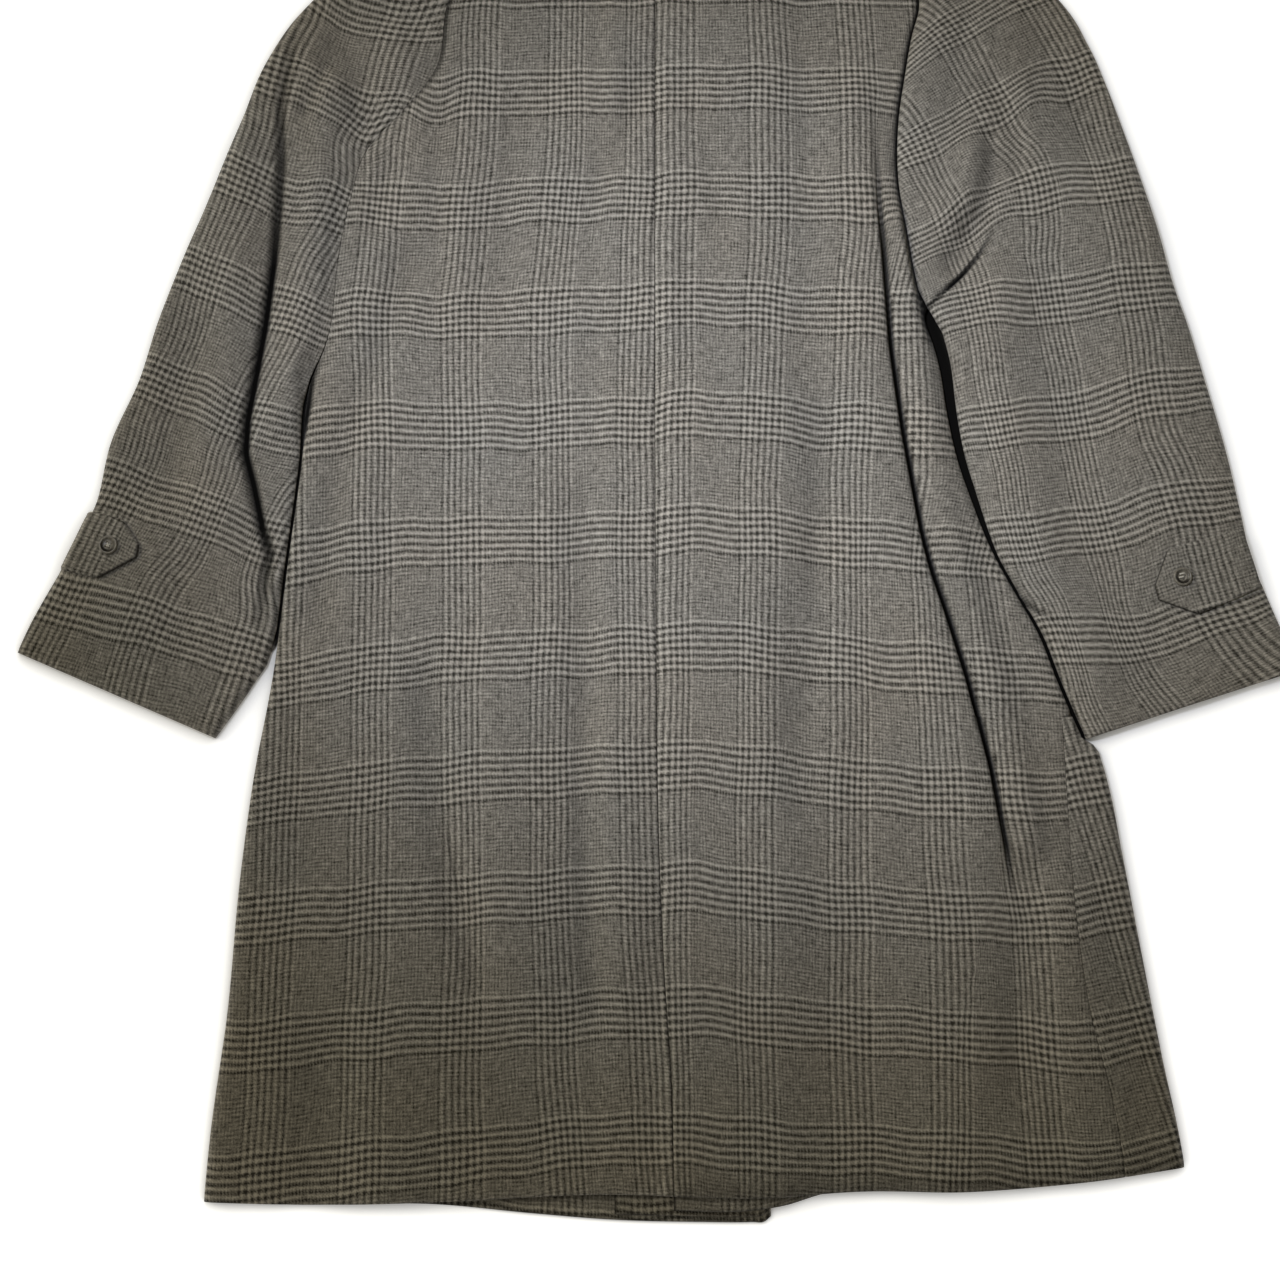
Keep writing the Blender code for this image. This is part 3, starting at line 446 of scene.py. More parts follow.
def check_yarns(tree, position, repeat, yarns, contrast):
    """Number of the yarn at a cloth position, how dark it is, and how high its round top stands there."""
    ends = calc(tree, "ADD", calc(tree, "MULTIPLY", position, yarns / repeat), WIDE_YARNS / 2)
    number = calc(tree, "FLOOR", ends)
    in_check = calc(tree, "FLOORED_MODULO", ends, yarns)
    wide = calc(tree, "LESS_THAN", in_check, WIDE_YARNS)
    wave = calc(tree, "SUBTRACT", calc(tree, "SINE", calc(tree, "MULTIPLY", in_check, np.pi / 4)), 0.02)
    four = calc(tree, "MULTIPLY", wave, contrast)
    two = calc(tree, "MULTIPLY", calc(tree, "SINE", calc(tree, "MULTIPLY", in_check, np.pi / 2)), 0.20)
    dark = calc(tree, "ADD", 0.5, choose(tree, wide, four, two))
    across = calc(tree, "SUBTRACT", calc(tree, "FRACT", ends), 0.5)
    squared = calc(tree, "MULTIPLY", across, across)
    round_top = calc(tree, "SUBTRACT", 1.0, calc(tree, "MULTIPLY", squared, 3.2))
    return number, dark, round_top


def weave_group():
    """Glen check in a two and two twill, from the cloth positions in the UV map, with painted shade from the
    fold map.
    """
    tree = bpy.data.node_groups.new("Glen check weave", "ShaderNodeTree")
    for name in ("Dark yarn", "Light yarn"):
        tree.interface.new_socket(name, in_out="INPUT", socket_type="NodeSocketColor")
    tree.interface.new_socket("Color", in_out="OUTPUT", socket_type="NodeSocketColor")
    tree.interface.new_socket("Roughness", in_out="OUTPUT", socket_type="NodeSocketFloat")
    tree.interface.new_socket("Height", in_out="OUTPUT", socket_type="NodeSocketFloat")
    given = tree.nodes.new("NodeGroupInput")
    result = tree.nodes.new("NodeGroupOutput")
    uv = uv_place(tree, "cloth")
    across, along = axes_of(tree, uv)
    end, warp_dark, warp_round = check_yarns(tree, across, WARP_REPEAT, CHECK_ENDS, 0.50)
    pick, weft_dark, weft_round = check_yarns(tree, along, WEFT_REPEAT, CHECK_PICKS, 0.68)
    step = calc(tree, "FLOORED_MODULO", calc(tree, "ADD", end, pick), 4)
    warp_on_top = calc(tree, "LESS_THAN", step, 2)
    warp_share = calc(tree, "ADD", 0.36, calc(tree, "MULTIPLY", warp_on_top, 0.28))
    dark = choose(tree, warp_share, warp_dark, weft_dark)
    fibres = noise(tree, uv, 820.0)
    for scales in ((1.0, 0.2, 1.0), (0.2, 1.0, 1.0)):
        stretch = tree.nodes.new("ShaderNodeVectorMath")
        stretch.operation = "MULTIPLY"
        stretch.inputs[1].default_value = scales
        tree.links.new(uv, stretch.inputs[0])
        slubs = calc(tree, "SUBTRACT", noise(tree, stretch.outputs[0], 620.0), 0.5)
        dark = calc(tree, "ADD", dark, calc(tree, "MULTIPLY", slubs, 0.80))
    melange = clamped(tree, calc(tree, "ADD", dark, calc(tree, "SUBTRACT", fibres, 0.5)))
    yarn = mix(tree, calc(tree, "POWER", melange, 0.72), given.outputs[1], given.outputs[0])
    warm = mix(tree, noise(tree, uv, 9.0), (0.96, 1.0, 1.02), (1.04, 1.0, 0.93))
    tinted = mix(tree, 1.0, yarn, warm, "MULTIPLY")
    # Painted shade: the fold map's amount blends the colour towards the painted shade colour
    depth = axes_of(tree, uv_place(tree, "fold"))[0]
    tree.links.new(mix(tree, depth, tinted, PAINTED_SHADE), result.inputs["Color"])
    tree.links.new(calc(tree, "ADD", 0.84, calc(tree, "MULTIPLY", fibres, 0.2)), result.inputs["Roughness"])
    yarns = choose(tree, warp_on_top, warp_round, weft_round)
    tree.links.new(calc(tree, "ADD", yarns, calc(tree, "MULTIPLY", fibres, 0.8)), result.inputs["Height"])
    return tree


def wool(name, group, dark, light):
    """Matt wool cloth with a short nap, woven by the given group."""
    made, tree, shader = new_material(name)
    woven = tree.nodes.new("ShaderNodeGroup")
    woven.node_tree = group
    woven.inputs["Dark yarn"].default_value = (*dark, 1.0)
    woven.inputs["Light yarn"].default_value = (*light, 1.0)
    tree.links.new(woven.outputs["Color"], shader.inputs["Base Color"])
    tree.links.new(woven.outputs["Roughness"], shader.inputs["Roughness"])
    relief(tree, shader, woven.outputs["Height"], 0.35, 0.00018)
    shader.inputs["Specular IOR Level"].default_value = 0.15
    shader.inputs["Sheen Weight"].default_value = 0.12
    shader.inputs["Sheen Roughness"].default_value = 0.5
    return made


weave = weave_group()
coat_wool = wool("Glen check wool", weave, (0.036, 0.033, 0.029), (0.52, 0.490, 0.455))

# Warp bands' places on the left back by height, from the outer one to the centre
LEFT_GRAIN = table(
    "y A B C D E",
    (-0.400, -0.2810, -0.2110, -0.1390, -0.0640, 0.0000),
    (-0.300, -0.2790, -0.2100, -0.1400, -0.0720, -0.0050),
    (-0.200, -0.2770, -0.2090, -0.1385, -0.0770, -0.0110),
    (-0.100, -0.2760, -0.2100, -0.1430, -0.0790, -0.0130),
    (0.050, -0.2770, -0.2110, -0.1440, -0.0765, -0.0155),
    (0.150, -0.2790, -0.2130, -0.1460, -0.0780, -0.0160),
    (0.260, -0.2840, -0.2170, -0.1490, -0.0800, -0.0130),
    (0.370, -0.2750, -0.2080, -0.1400, -0.0690, -0.0100),
    (0.664, -0.2500, -0.1900, -0.1300, -0.0660, -0.0100),
)

# How far the weft bands hang below their place at the centre, at four columns
LEFT_DROOP = table(
    "y side outer middle inner",
    (-0.362, -0.0250, -0.0160, -0.0110, -0.0060),
    (-0.184, -0.0210, -0.0150, -0.0090, -0.0050),
    (-0.010, -0.0300, -0.0160, -0.0060, -0.0030),
    (0.165, -0.0180, -0.0030, -0.0040, -0.0050),
    (0.341, -0.0040, -0.0010, -0.0080, 0.0000),
    (0.500, 0.0000, 0.0000, 0.0000, 0.0000),
)
LEFT_DROOP_X = (-0.300, -0.230, -0.165, -0.100, -0.030)
WEFT_AT_CENTRE = -0.010      # height of one weft band at the centre back


def band_positions(y, grain, names):
    """Places of the named columns of a table at each height."""
    return [np.interp(y, grain["y"], grain[name]) for name in names]


def left_cloth(x, y):
    """Cloth position of a point on the left back."""
    bands = band_positions(y, LEFT_GRAIN, "ABCDE")
    across = between(x, bands, [WARP_REPEAT * k for k in range(-4, 1)])
    droops = band_positions(y, LEFT_DROOP, ("side", "outer", "middle", "inner")) + [0.0]
    drop = runs(x, LEFT_DROOP_X, droops, droops[0])
    return np.stack([across, y - drop - WEFT_AT_CENTRE], axis=-1)


STRIP_TOP = -0.058           # where the right front's turned strip ends, under the sleeve
BODY_ROWS = np.sort(np.append(rows_up(HEM, NECK, 188), STRIP_TOP + np.array([-0.0005, 0.0005])))


def back_panel(name, side, outer, seam_weight, crease, slits, cloth_of, seam_dip, seam_shade):
    """One half of the back: its height over the layers under it, closed down to its seams and fold."""
    y = BODY_ROWS
    centre = smooth(y, CENTRE_BACK["y"], CENTRE_BACK["x"]) + side * SEAM / 2
    width = np.abs(outer - centre)
    start = np.stack([centre, y], axis=1)
    direction = np.tile([side, 0.0], (len(y), 1))
    at = crossing(start, direction, width, crease, EDGE_TURN + SLIT_ROOM)
    lead = [np.full_like(y, place) for place in (0.0, 0.0012, 0.0026, 0.005)]
    tail = [width - EDGE_TURN * share for share in TURN_SHARES]
    across = slit_columns(np.maximum(at, 0.020), lead, tail, 34, 26 if side < 0 else 20)
    x = centre[:, None] + side * across
    rows_y = np.broadcast_to(y[:, None], x.shape)
    calm = neck_calm(rows_y)
    lap = lap_height(x, rows_y)
    above = loft(x, rows_y, BODY_FOLDS) * calm + 0.0006 * (1 - calm)
    high = BACK_LOW + lap + above
    from_edge = width[:, None] - across
    folded = turned_edge(from_edge, high, FOLD_END)
    under_sleeve = OVERLAP * (side > 0) * ease(rows_y, UNDERARM_RIGHT - 0.016, UNDERARM_RIGHT + 0.008)
    seam_low = seam_level(side, rows_y) + lap
    sewn = seam_low + (high - seam_low) * ease(from_edge - under_sleeve, 0, seam_dip)
    sewn = np.where(rows_y > STRIP_TOP, sewn, high - side_groove(from_edge))
    z = folded + (sewn - folded) * seam_weight[:, None]
    centre_groove = 0.0012 * np.exp(-(across / 0.0020) ** 2)
    z = z - centre_groove - pressed(rows_y - HEM)
    base = np.stack([x, follow_hem(x, rows_y, HEM_WAVE), z], axis=2)
    normal = surface_normal(base)
    normal[:, 0] = (0, 0, 1)
    normal[seam_weight > 0.5, -1] = (0, 0, 1)
    top = base + normal * WALL / 2
    slit = slit_depth(x, rows_y, slits)
    off_seam = 1 - seam_weight[:, None] * (1 - ease(from_edge, 0.004, 0.016))
    top[:, :, 2] -= slit * (above - LEAST_LOFT) * off_seam
    top[:, :, 0] += side * lips(across - at[:, None], x, rows_y, crease, 0.0030, 0.0016, 0.0007)
    # Painted shade: in the slits, beside the sleeve's seam, in the troughs among the folds, and on the right
    # back just above the hem
    seam_side_shade = (seam_weight * np.interp(y, *seam_shade))[:, None] * (rows_y > STRIP_TOP)
    shade = np.maximum(slit, seam_side_shade * (1 - ease(from_edge - under_sleeve, *SEAM_SHADE)))
    shade = np.maximum(shade, trough_shade(x, rows_y, BODY_FOLDS))
    shade = np.maximum(shade, 0.30 * (side > 0) * np.exp(-((rows_y - HEM) / 0.012) ** 2))
    return shell(name, top, -normal, cloth_of(x, rows_y), coat_wool, shade=shade)


sewn_left = ease(BODY_ROWS, UNDERARM_LEFT - 0.020, UNDERARM_LEFT + 0.004)
left_outer = smooth(BODY_ROWS, BODY_LEFT["y"], BODY_LEFT["x"])
left_outer = left_outer + (WALL * (1 - sewn_left) + SEAM * sewn_left) / 2
back_left = back_panel("back_left_cloth", -1, left_outer, sewn_left, LEFT_BACK_SLITS[0][1], LEFT_BACK_SLITS,
                       left_cloth, 0.012, ((0.20, 0.23, 0.40, 0.43, 0.48), (0.5, 0.0, 0.05, 0.5, 0.75)))
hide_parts("back_left")

# Right back
# The other half, with the long pleat that runs down from beside the sleeve: the
# spare width folds over on itself there, and lies open again above the hem.
BODY_RIGHT = table(
    "y x",
    (-0.425, 0.3790), (-0.342, 0.3690), (-0.259, 0.3560), (-0.156, 0.3400),
    (-0.112, 0.3330), (-0.090, 0.3275), (-0.081, 0.3240), (-0.0755, 0.3150),
    (-0.070, 0.3125), (-0.035, 0.2985), (0.006, 0.2835), (0.033, 0.2690),
    (0.062, 0.2540), (0.106, 0.2375), (0.137, 0.2280), (0.173, 0.2210),
    (0.210, 0.2160), (0.249, 0.2060), (0.281, 0.1990), (0.314, 0.1940),
    (0.360, 0.1875), (0.411, 0.1890), (0.444, 0.1942), (0.478, 0.2005),
    (0.505, 0.2070), (0.530, 0.2020), (0.590, 0.1450), (0.664, 0.0790),
)
SIDE_SEAM = table(
    "y x",
    (-0.425, 0.3350), (-0.331, 0.3240), (-0.269, 0.3110), (-0.218, 0.3050),
    (-0.113, 0.3010), (-0.040, 0.2985),
)
RIGHT_BACK_SLITS = (
    (0.0046, ((0.170, 0.430, 0.0), (0.171, 0.374, 0.25), (0.172, 0.340, 0.6), (0.175, 0.301, 0.9),
              (0.179, 0.225, 1.0), (0.187, 0.158, 1.0), (0.199, 0.082, 1.0), (0.206, 0.051, 1.0),
              (0.215, 0.023, 1.0), (0.230, -0.029, 1.0), (0.246, -0.096, 1.0), (0.255, -0.153, 0.9),
              (0.262, -0.200, 0.0))),
)

# Warp bands on the right back by height, the crease, and how much cloth lies
# hidden in it; the last band lies beyond the crease below the fifth row
RIGHT_GRAIN = table(
    "y F G H fold lip hidden J",
    (-0.400, 0.0130, 0.0710, 0.1400, 0.2100, 0.2064, 0.0010, 0.2780),
    (-0.300, 0.0110, 0.0700, 0.1390, 0.2150, 0.2064, 0.0010, 0.2720),
    (-0.210, 0.0100, 0.0700, 0.1405, 0.2400, 0.2310, 0.0050, 0.2700),
    (-0.120, 0.0105, 0.0715, 0.1415, 0.2520, 0.2480, 0.0200, 0.2540),
    (-0.030, 0.0120, 0.0740, 0.1450, 0.2300, 0.2320, 0.0200, 0.2510),
    (0.050, 0.0120, 0.0755, 0.1460, 0.2062, 0.2110, 0.0210, 0.2420),
    (0.120, 0.0130, 0.0770, 0.1470, 0.1920, 0.1830, 0.0240, 0.2620),
    (0.190, 0.0140, 0.0800, 0.1500, 0.1830, 0.1706, 0.0270, 0.2590),
    (0.260, 0.0140, 0.0840, 0.1540, 0.1772, 0.1608, 0.0290, 0.2520),
    (0.340, 0.0150, 0.0885, 0.1590, 0.1720, 0.1506, 0.0120, 0.2560),
    (0.430, 0.0160, 0.0890, 0.1590, 0.1700, 0.1486, 0.0000, 0.2600),
    (0.664, 0.0160, 0.0850, 0.1520, 0.1700, 0.1556, 0.0000, 0.2560),
)
RIGHT_DROOP = table(
    "y inner middle fold outer side",
    (-0.362, 0.0000, -0.0080, -0.0120, -0.0170, -0.0290),
    (-0.184, 0.0010, -0.0100, -0.0170, -0.0220, -0.0205),
    (-0.010, 0.0020, -0.0030, -0.0120, -0.0180, -0.0235),
    (0.165, 0.0040, -0.0030, -0.0090, -0.0140, -0.0200),
    (0.341, 0.0020, -0.0010, -0.0030, -0.0040, -0.0040),
    (0.500, 0.0000, 0.0000, 0.0000, 0.0000, 0.0000),
)
RIGHT_DROOP_X = (0.030, 0.105, 0.170, 0.235, 0.300)


def right_cloth(x, y):
    """Cloth position of a point on the right back, with the cloth hidden in the pleat left out."""
    first, second, third, fold, lip, hidden, last = band_positions(
        y, RIGHT_GRAIN, ("F", "G", "H", "fold", "lip", "hidden", "J"))
    bands = [first, second, third, fold - 0.0014, fold + 0.0014, last]
    places = [0.0, WARP_REPEAT, 2 * WARP_REPEAT, lip, lip + hidden + 0.0028, 4 * WARP_REPEAT]
    across = between(x, bands, places)
    droops = band_positions(y, RIGHT_DROOP, ("inner", "middle", "fold", "outer", "side"))
    drop = runs(x, RIGHT_DROOP_X, droops, droops[0] * np.clip(x / RIGHT_DROOP_X[0], 0, 1))
    return np.stack([across, y - drop - WEFT_AT_CENTRE - 0.0015], axis=-1)


at_strip = BODY_ROWS < STRIP_TOP
right_over = ease(BODY_ROWS, UNDERARM_RIGHT - 0.016, UNDERARM_RIGHT + 0.008)
right_outer = smooth(BODY_ROWS, BODY_RIGHT["y"], BODY_RIGHT["x"])
right_outer = right_outer - WALL / 2 + (WALL / 2 + OVERLAP) * right_over
right_seam = smooth(BODY_ROWS, SIDE_SEAM["y"], SIDE_SEAM["x"]) - SEAM / 2
right_outer = np.where(at_strip, right_seam, right_outer)
right_low = ease(BODY_ROWS, UNDERARM_RIGHT - 0.050, UNDERARM_RIGHT - 0.022)
back_right = back_panel("back_right_cloth", 1, right_outer, np.where(at_strip, 1.0, right_low),
                        RIGHT_BACK_SLITS[0][1], RIGHT_BACK_SLITS, right_cloth, 0.007,
                        ((0.20, 0.60), (1.0, 1.0)))
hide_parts("back_right")

# Left front
# The lowest layer, flat on the table, of the same cloth. Only its hem shows,
# where it runs on below the back.
LEFT_FRONT_HEM = table(
    "x y",
    (-0.330, -0.4055), (-0.264, -0.4085), (-0.154, -0.4085), (-0.089, -0.4145),
    (-0.030, -0.4190), (0.031, -0.4205), (0.068, -0.4205), (0.077, -0.4200),
    (0.081, -0.4165),
)
LEFT_NECKLINE = table(
    "y x", (0.545, 0.081), (0.560, 0.070), (0.575, 0.036), (0.610, -0.035), (0.664, -0.068)
)
NECKLINE_START = 0.545
DOWN = np.array([0.0, 0.0, -1.0])
FRONT_ROWS = np.concatenate([HEM + np.array([0, 0.0015, 0.004]), np.linspace(HEM + 0.012, NECK, 80)])


def flat_layer(name, start, end, height, hem, rows, counts, cloth_of, material, shaded_side=None,
               edge_shade_line=True):
    """A level panel between two lines, thinned to a soft edge at the hem, with painted shade beside a sleeve.

    Where its first edge shows below the hem, a thin line of painted shade can mark it; another runs along its
    hem.
    """
    share = np.linspace(0, 1, counts)
    share = share * share * (3 - 2 * share) * 0.6 + share * 0.4
    x = start[:, None] + (end - start)[:, None] * share[None, :]
    y = np.broadcast_to(rows[:, None], x.shape)
    z = height(x, y) + WALL / 2
    near_edge = np.minimum(y - HEM, np.minimum(x - start[:, None], end[:, None] - x))
    z = z - 0.0007 * np.exp(-(near_edge / 0.0015) ** 2)
    top = np.stack([x, follow_hem(x, y, hem), z], axis=2)
    start_shade = edge_shade_line * np.exp(-((x - start[:, None]) / 0.0017) ** 2)
    shade = 0.95 * np.maximum(start_shade, 0.7 * np.exp(-((y - HEM) / 0.0009) ** 2)) * (y < HEM + 0.03)
    if shaded_side is not None:
        shade = shade + (1 - ease(np.abs(x - shaded_side[:, None]), 0.010, 0.020)) * ease(y, -0.095, -0.075)
    return shell(name, top, DOWN, cloth_of(x, y), material, wall=WALL - 0.0008, shade=shade)


def front_lines(outline, underarm, edge, neckline):
    """Side line of a front, how far it is sewn there, and front edge with the neckline, row by row."""
    neckline_x = smooth(FRONT_ROWS, neckline["y"], neckline["x"])
    return (smooth(FRONT_ROWS, outline["y"], outline["x"]),
            ease(FRONT_ROWS, underarm - 0.020, underarm + 0.004),
            np.where(FRONT_ROWS < NECKLINE_START, edge, neckline_x))


side_line, front_sewn, front_edge = front_lines(BODY_LEFT, UNDERARM_LEFT, LAP_EDGE, LEFT_NECKLINE)
front_left = flat_layer(
    "front_left_cloth", side_line + front_sewn * SEAM / 2, front_edge,
    lambda x, y: np.full_like(x, WALL / 2), LEFT_FRONT_HEM, FRONT_ROWS, 90,
    lambda x, y: np.stack([x + 0.0665, y + 0.062], axis=-1), coat_wool, side_line, edge_shade_line=False,
)
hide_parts("front_left")

# Front facing
# The facing sewn inside the left front's edge: a strip of the same wool, its colours
# painted a little darker for the shade of the hem, flat on the left front.
FACING_HEM = table(
    "x y", (-0.035, -0.4150), (0.031, -0.4165), (0.066, -0.4165), (0.075, -0.4158), (0.079, -0.4125)
)
facing_rows = FRONT_ROWS[FRONT_ROWS < NECKLINE_START]
facing_wool_shaded = wool("Facing wool in painted shade", weave, (0.034, 0.030, 0.026), (0.46, 0.43, 0.385))
front_facing = flat_layer(
    "front_facing_cloth", np.full_like(facing_rows, FACING_EDGE), np.full_like(facing_rows, LAP_EDGE - 0.003),
    lambda x, y: np.full_like(x, BACK_LOW), FACING_HEM, facing_rows, 40,
    lambda x, y: np.stack([x + 0.0030, y - 0.032], axis=-1), facing_wool_shaded,
)
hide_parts("front_facing")

# Right front
# The front that laps over the left one, and comes down to the table beside it.
RIGHT_FRONT_HEM = table(
    "x y",
    (0.012, -0.4125), (0.066, -0.4125), (0.090, -0.4090), (0.119, -0.4010),
    (0.200, -0.3975), (0.300, -0.3905), (0.385, -0.3790),
)
RIGHT_NECKLINE = table(
    "y x", (0.545, 0.012), (0.560, 0.020), (0.575, 0.042), (0.610, 0.060), (0.664, 0.068)
)


def right_front_height(x, y):
    """The right front's middle height: down a ramp from the lap to the table."""
    past_edge = 1 - ease(x, LAP_EDGE + 0.002, LAP_EDGE + LAP_RAMP)
    return WALL / 2 + 2 * LAYER * past_edge * (1 - ease(y, LAP_END, LAP_END + 0.035))


side_line, front_sewn, front_edge = front_lines(BODY_RIGHT, UNDERARM_RIGHT, RIGHT_EDGE, RIGHT_NECKLINE)
front_right = flat_layer(
    "front_right_cloth", front_edge, side_line - front_sewn * SEAM / 2,
    right_front_height, RIGHT_FRONT_HEM, FRONT_ROWS, 110,
    lambda x, y: np.stack([x + 0.007, y + 0.020], axis=-1), coat_wool, side_line,
)
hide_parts("front_right")

# Turned strip of the right front
# The right front's own cloth, folded over the side so that the side seam lies
# on the back; its weft climbs outwards.
STRIP_ROWS = rows_up(HEM, STRIP_TOP - 0.001, 64)
strip_seam = smooth(STRIP_ROWS, SIDE_SEAM["y"], SIDE_SEAM["x"]) + SEAM / 2
strip_edge = smooth(STRIP_ROWS, BODY_RIGHT["y"], BODY_RIGHT["x"]) - WALL / 2
strip_width = strip_edge - strip_seam
strip_turn = np.minimum(EDGE_TURN, 0.7 * strip_width)
strip_stops = [strip_width * 0, strip_width * 0.04, strip_width * 0.09]
strip_stops += [strip_width - strip_turn * share for share in TURN_SHARES]
strip_across = spread(strip_stops, [1, 1, 12] + [1] * (len(TURN_SHARES) - 1))
strip_x = strip_seam[:, None] + strip_across
strip_y = np.broadcast_to(STRIP_ROWS[:, None], strip_x.shape)
strip_high = BACK_LOW + loft(strip_x, strip_y, BODY_FOLDS)
strip_z = turned_edge(strip_width[:, None] - strip_across, strip_high - side_groove(strip_across), FOLD_END,
                      strip_turn[:, None])
strip_z = strip_z - pressed(strip_y - HEM)
strip_base = np.stack([strip_x, follow_hem(strip_x, strip_y, HEM_WAVE), strip_z], axis=2)
strip_normal = surface_normal(strip_base)
strip_normal[:, 0] = (0, 0, 1)
# The strip narrows at its top, where its warp runs straight on
STRIP_NARROWS = -0.112
strip_straight = 0.3317 - 0.16 * (STRIP_ROWS - STRIP_NARROWS)
strip_outer = strip_x - np.where(STRIP_ROWS > STRIP_NARROWS, strip_straight, strip_edge)[:, None]
strip_uv = np.stack([strip_outer + 0.0055 + 0.094 * (strip_y + 0.2218),
                     0.977 * (strip_base[:, :, 1] + 0.2943) - 0.24 * (strip_outer + 0.0426)], axis=-1)
# The strip's colour is a little darker all over, and darker still along its hem with painted shade
front_right_turn = shell(
    "front_right_turn_cloth", strip_base + strip_normal * WALL / 2, -strip_normal, strip_uv, coat_wool,
    shade=0.10 + 0.25 * np.exp(-((strip_y - HEM) / 0.012) ** 2),
)
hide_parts("front_right_turn")

# Sleeves
# Raglan sleeves of the coat's cloth, each a flattened tube: an under layer on
# the table and the upper one that shows, folded at both sides, with the deep
# creases of its empty inner half.
LEFT_ROWS = table(
    "outer_x outer_y inner_y gap",
    (-0.475, -0.010, -0.074, 0.0340), (-0.464, 0.016, -0.050, 0.0215), (-0.449, 0.045, -0.026, 0.0098),
    (-0.446, 0.051, -0.0195, 0.0060), (-0.435, 0.075, 0.007, 0.0020), (-0.421, 0.105, 0.046, 0.0020),
    (-0.412, 0.152, 0.089, 0.0020), (-0.393, 0.200, 0.135, 0.0020), (-0.380, 0.248, 0.180, 0.0020),
    (-0.362, 0.301, 0.240, 0.0000), (-0.348, 0.337, 0.301, 0.0000), (-0.332, 0.382, 0.356, 0.0000),
    (-0.320, 0.415, 0.393, 0.0000), (-0.308, 0.450, 0.425, 0.0000), (-0.289, 0.485, 0.465, 0.0000),
    (-0.268, 0.511, 0.504, 0.0000), (-0.228, 0.555, 0.552, 0.0000), (-0.165, 0.611, 0.606, 0.0000),
    (-0.100, 0.662, 0.657, 0.0000),
)
RIGHT_ROWS = table(
    "outer_x outer_y inner_y gap",
    (0.478, -0.023, -0.0750, 0.0030), (0.464, 0.011, -0.0350, 0.0030), (0.454, 0.038, 0.0060, 0.0030),
    (0.446, 0.060, 0.0330, 0.0030), (0.440, 0.095, 0.0620, 0.0030), (0.432, 0.139, 0.1180, 0.0060),
    (0.424, 0.174, 0.1480, 0.0065), (0.416, 0.206, 0.1920, 0.0080), (0.407, 0.242, 0.2370, 0.0092),
    (0.397, 0.276, 0.2700, 0.0000), (0.387, 0.320, 0.3140, 0.0000), (0.376, 0.360, 0.3600, 0.0000),
    (0.365, 0.397, 0.4000, 0.0000), (0.351, 0.441, 0.4440, 0.0000), (0.339, 0.472, 0.4780, 0.0000),
    (0.318, 0.509, 0.5200, 0.0000), (0.255, 0.578, 0.5770, 0.0000), (0.165, 0.631, 0.6280, 0.0000),
    (0.100, 0.662, 0.6580, 0.0000),
)
LEFT_SLEEVE_FOLDS = (
    (0.0072, 0.0240, ((-0.318, 0.380), (-0.325, 0.260), (-0.338, 0.160), (-0.330, 0.100))),
    (0.0066, 0.0160, ((-0.255, 0.430), (-0.262, 0.330), (-0.272, 0.250), (-0.284, 0.170))),
    (-0.0049, 0.0180, ((-0.345, 0.240), (-0.362, 0.160), (-0.372, 0.125))),
    (0.0054, 0.0150, ((-0.205, 0.475), (-0.200, 0.455))),
    (-0.0054, 0.0120, ((-0.250, 0.470), (-0.232, 0.440), (-0.224, 0.405))),
    (0.0049, 0.0350, ((-0.395, 0.020), (-0.380, 0.060))),
    (-0.0042, 0.0060, ((-0.252, 0.462), (-0.262, 0.440), (-0.272, 0.415))),
    (0.0028, 0.0070, ((-0.258, 0.062), (-0.270, 0.052), (-0.288, 0.040))),
)
RIGHT_SLEEVE_FOLDS = (
    (0.0060, 0.0150, ((0.225, 0.330), (0.240, 0.345), (0.245, 0.380))),
    (-0.0050, 0.0100, ((0.2606, 0.3960), (0.2581, 0.3630), (0.2470, 0.3262), (0.2267, 0.2897))),
    (0.0066, 0.0260, ((0.262, 0.270), (0.262, 0.200), (0.272, 0.110), (0.292, 0.050), (0.325, -0.020))),
    (0.0056, 0.0350, ((0.350, 0.330), (0.372, 0.180), (0.385, 0.090))),
    (-0.0042, 0.0250, ((0.300, 0.470), (0.318, 0.430), (0.330, 0.400))),
    (-0.0035, 0.0100, ((0.262, 0.440), (0.278, 0.400), (0.282, 0.370))),
)
LEFT_SLEEVE_SLITS = (
    (0.0064, ((-0.282, 0.500, 0.0), (-0.284, 0.470, 0.3), (-0.291, 0.421, 0.6), (-0.289, 0.374, 0.7),
              (-0.290, 0.340, 0.8), (-0.293, 0.291, 1.0), (-0.298, 0.242, 1.0), (-0.304, 0.200, 1.0),
              (-0.309, 0.168, 1.0), (-0.310, 0.142, 1.0), (-0.303, 0.117, 1.0), (-0.295, 0.083, 1.0),
              (-0.289, 0.066, 0.9), (-0.294, 0.020, 0.4), (-0.296, -0.010, 0.0))),
)
RIGHT_SLEEVE_SLITS = (
    (0.0028, ((0.203, 0.252, 1.0), (0.218, 0.266, 1.0), (0.236, 0.283, 1.0), (0.250, 0.300, 0.6),
              (0.262, 0.322, 0.0))),
    (0.0026, ((0.270, 0.034, 0.6), (0.285, 0.020, 0.6), (0.304, 0.006, 0.0))),
)

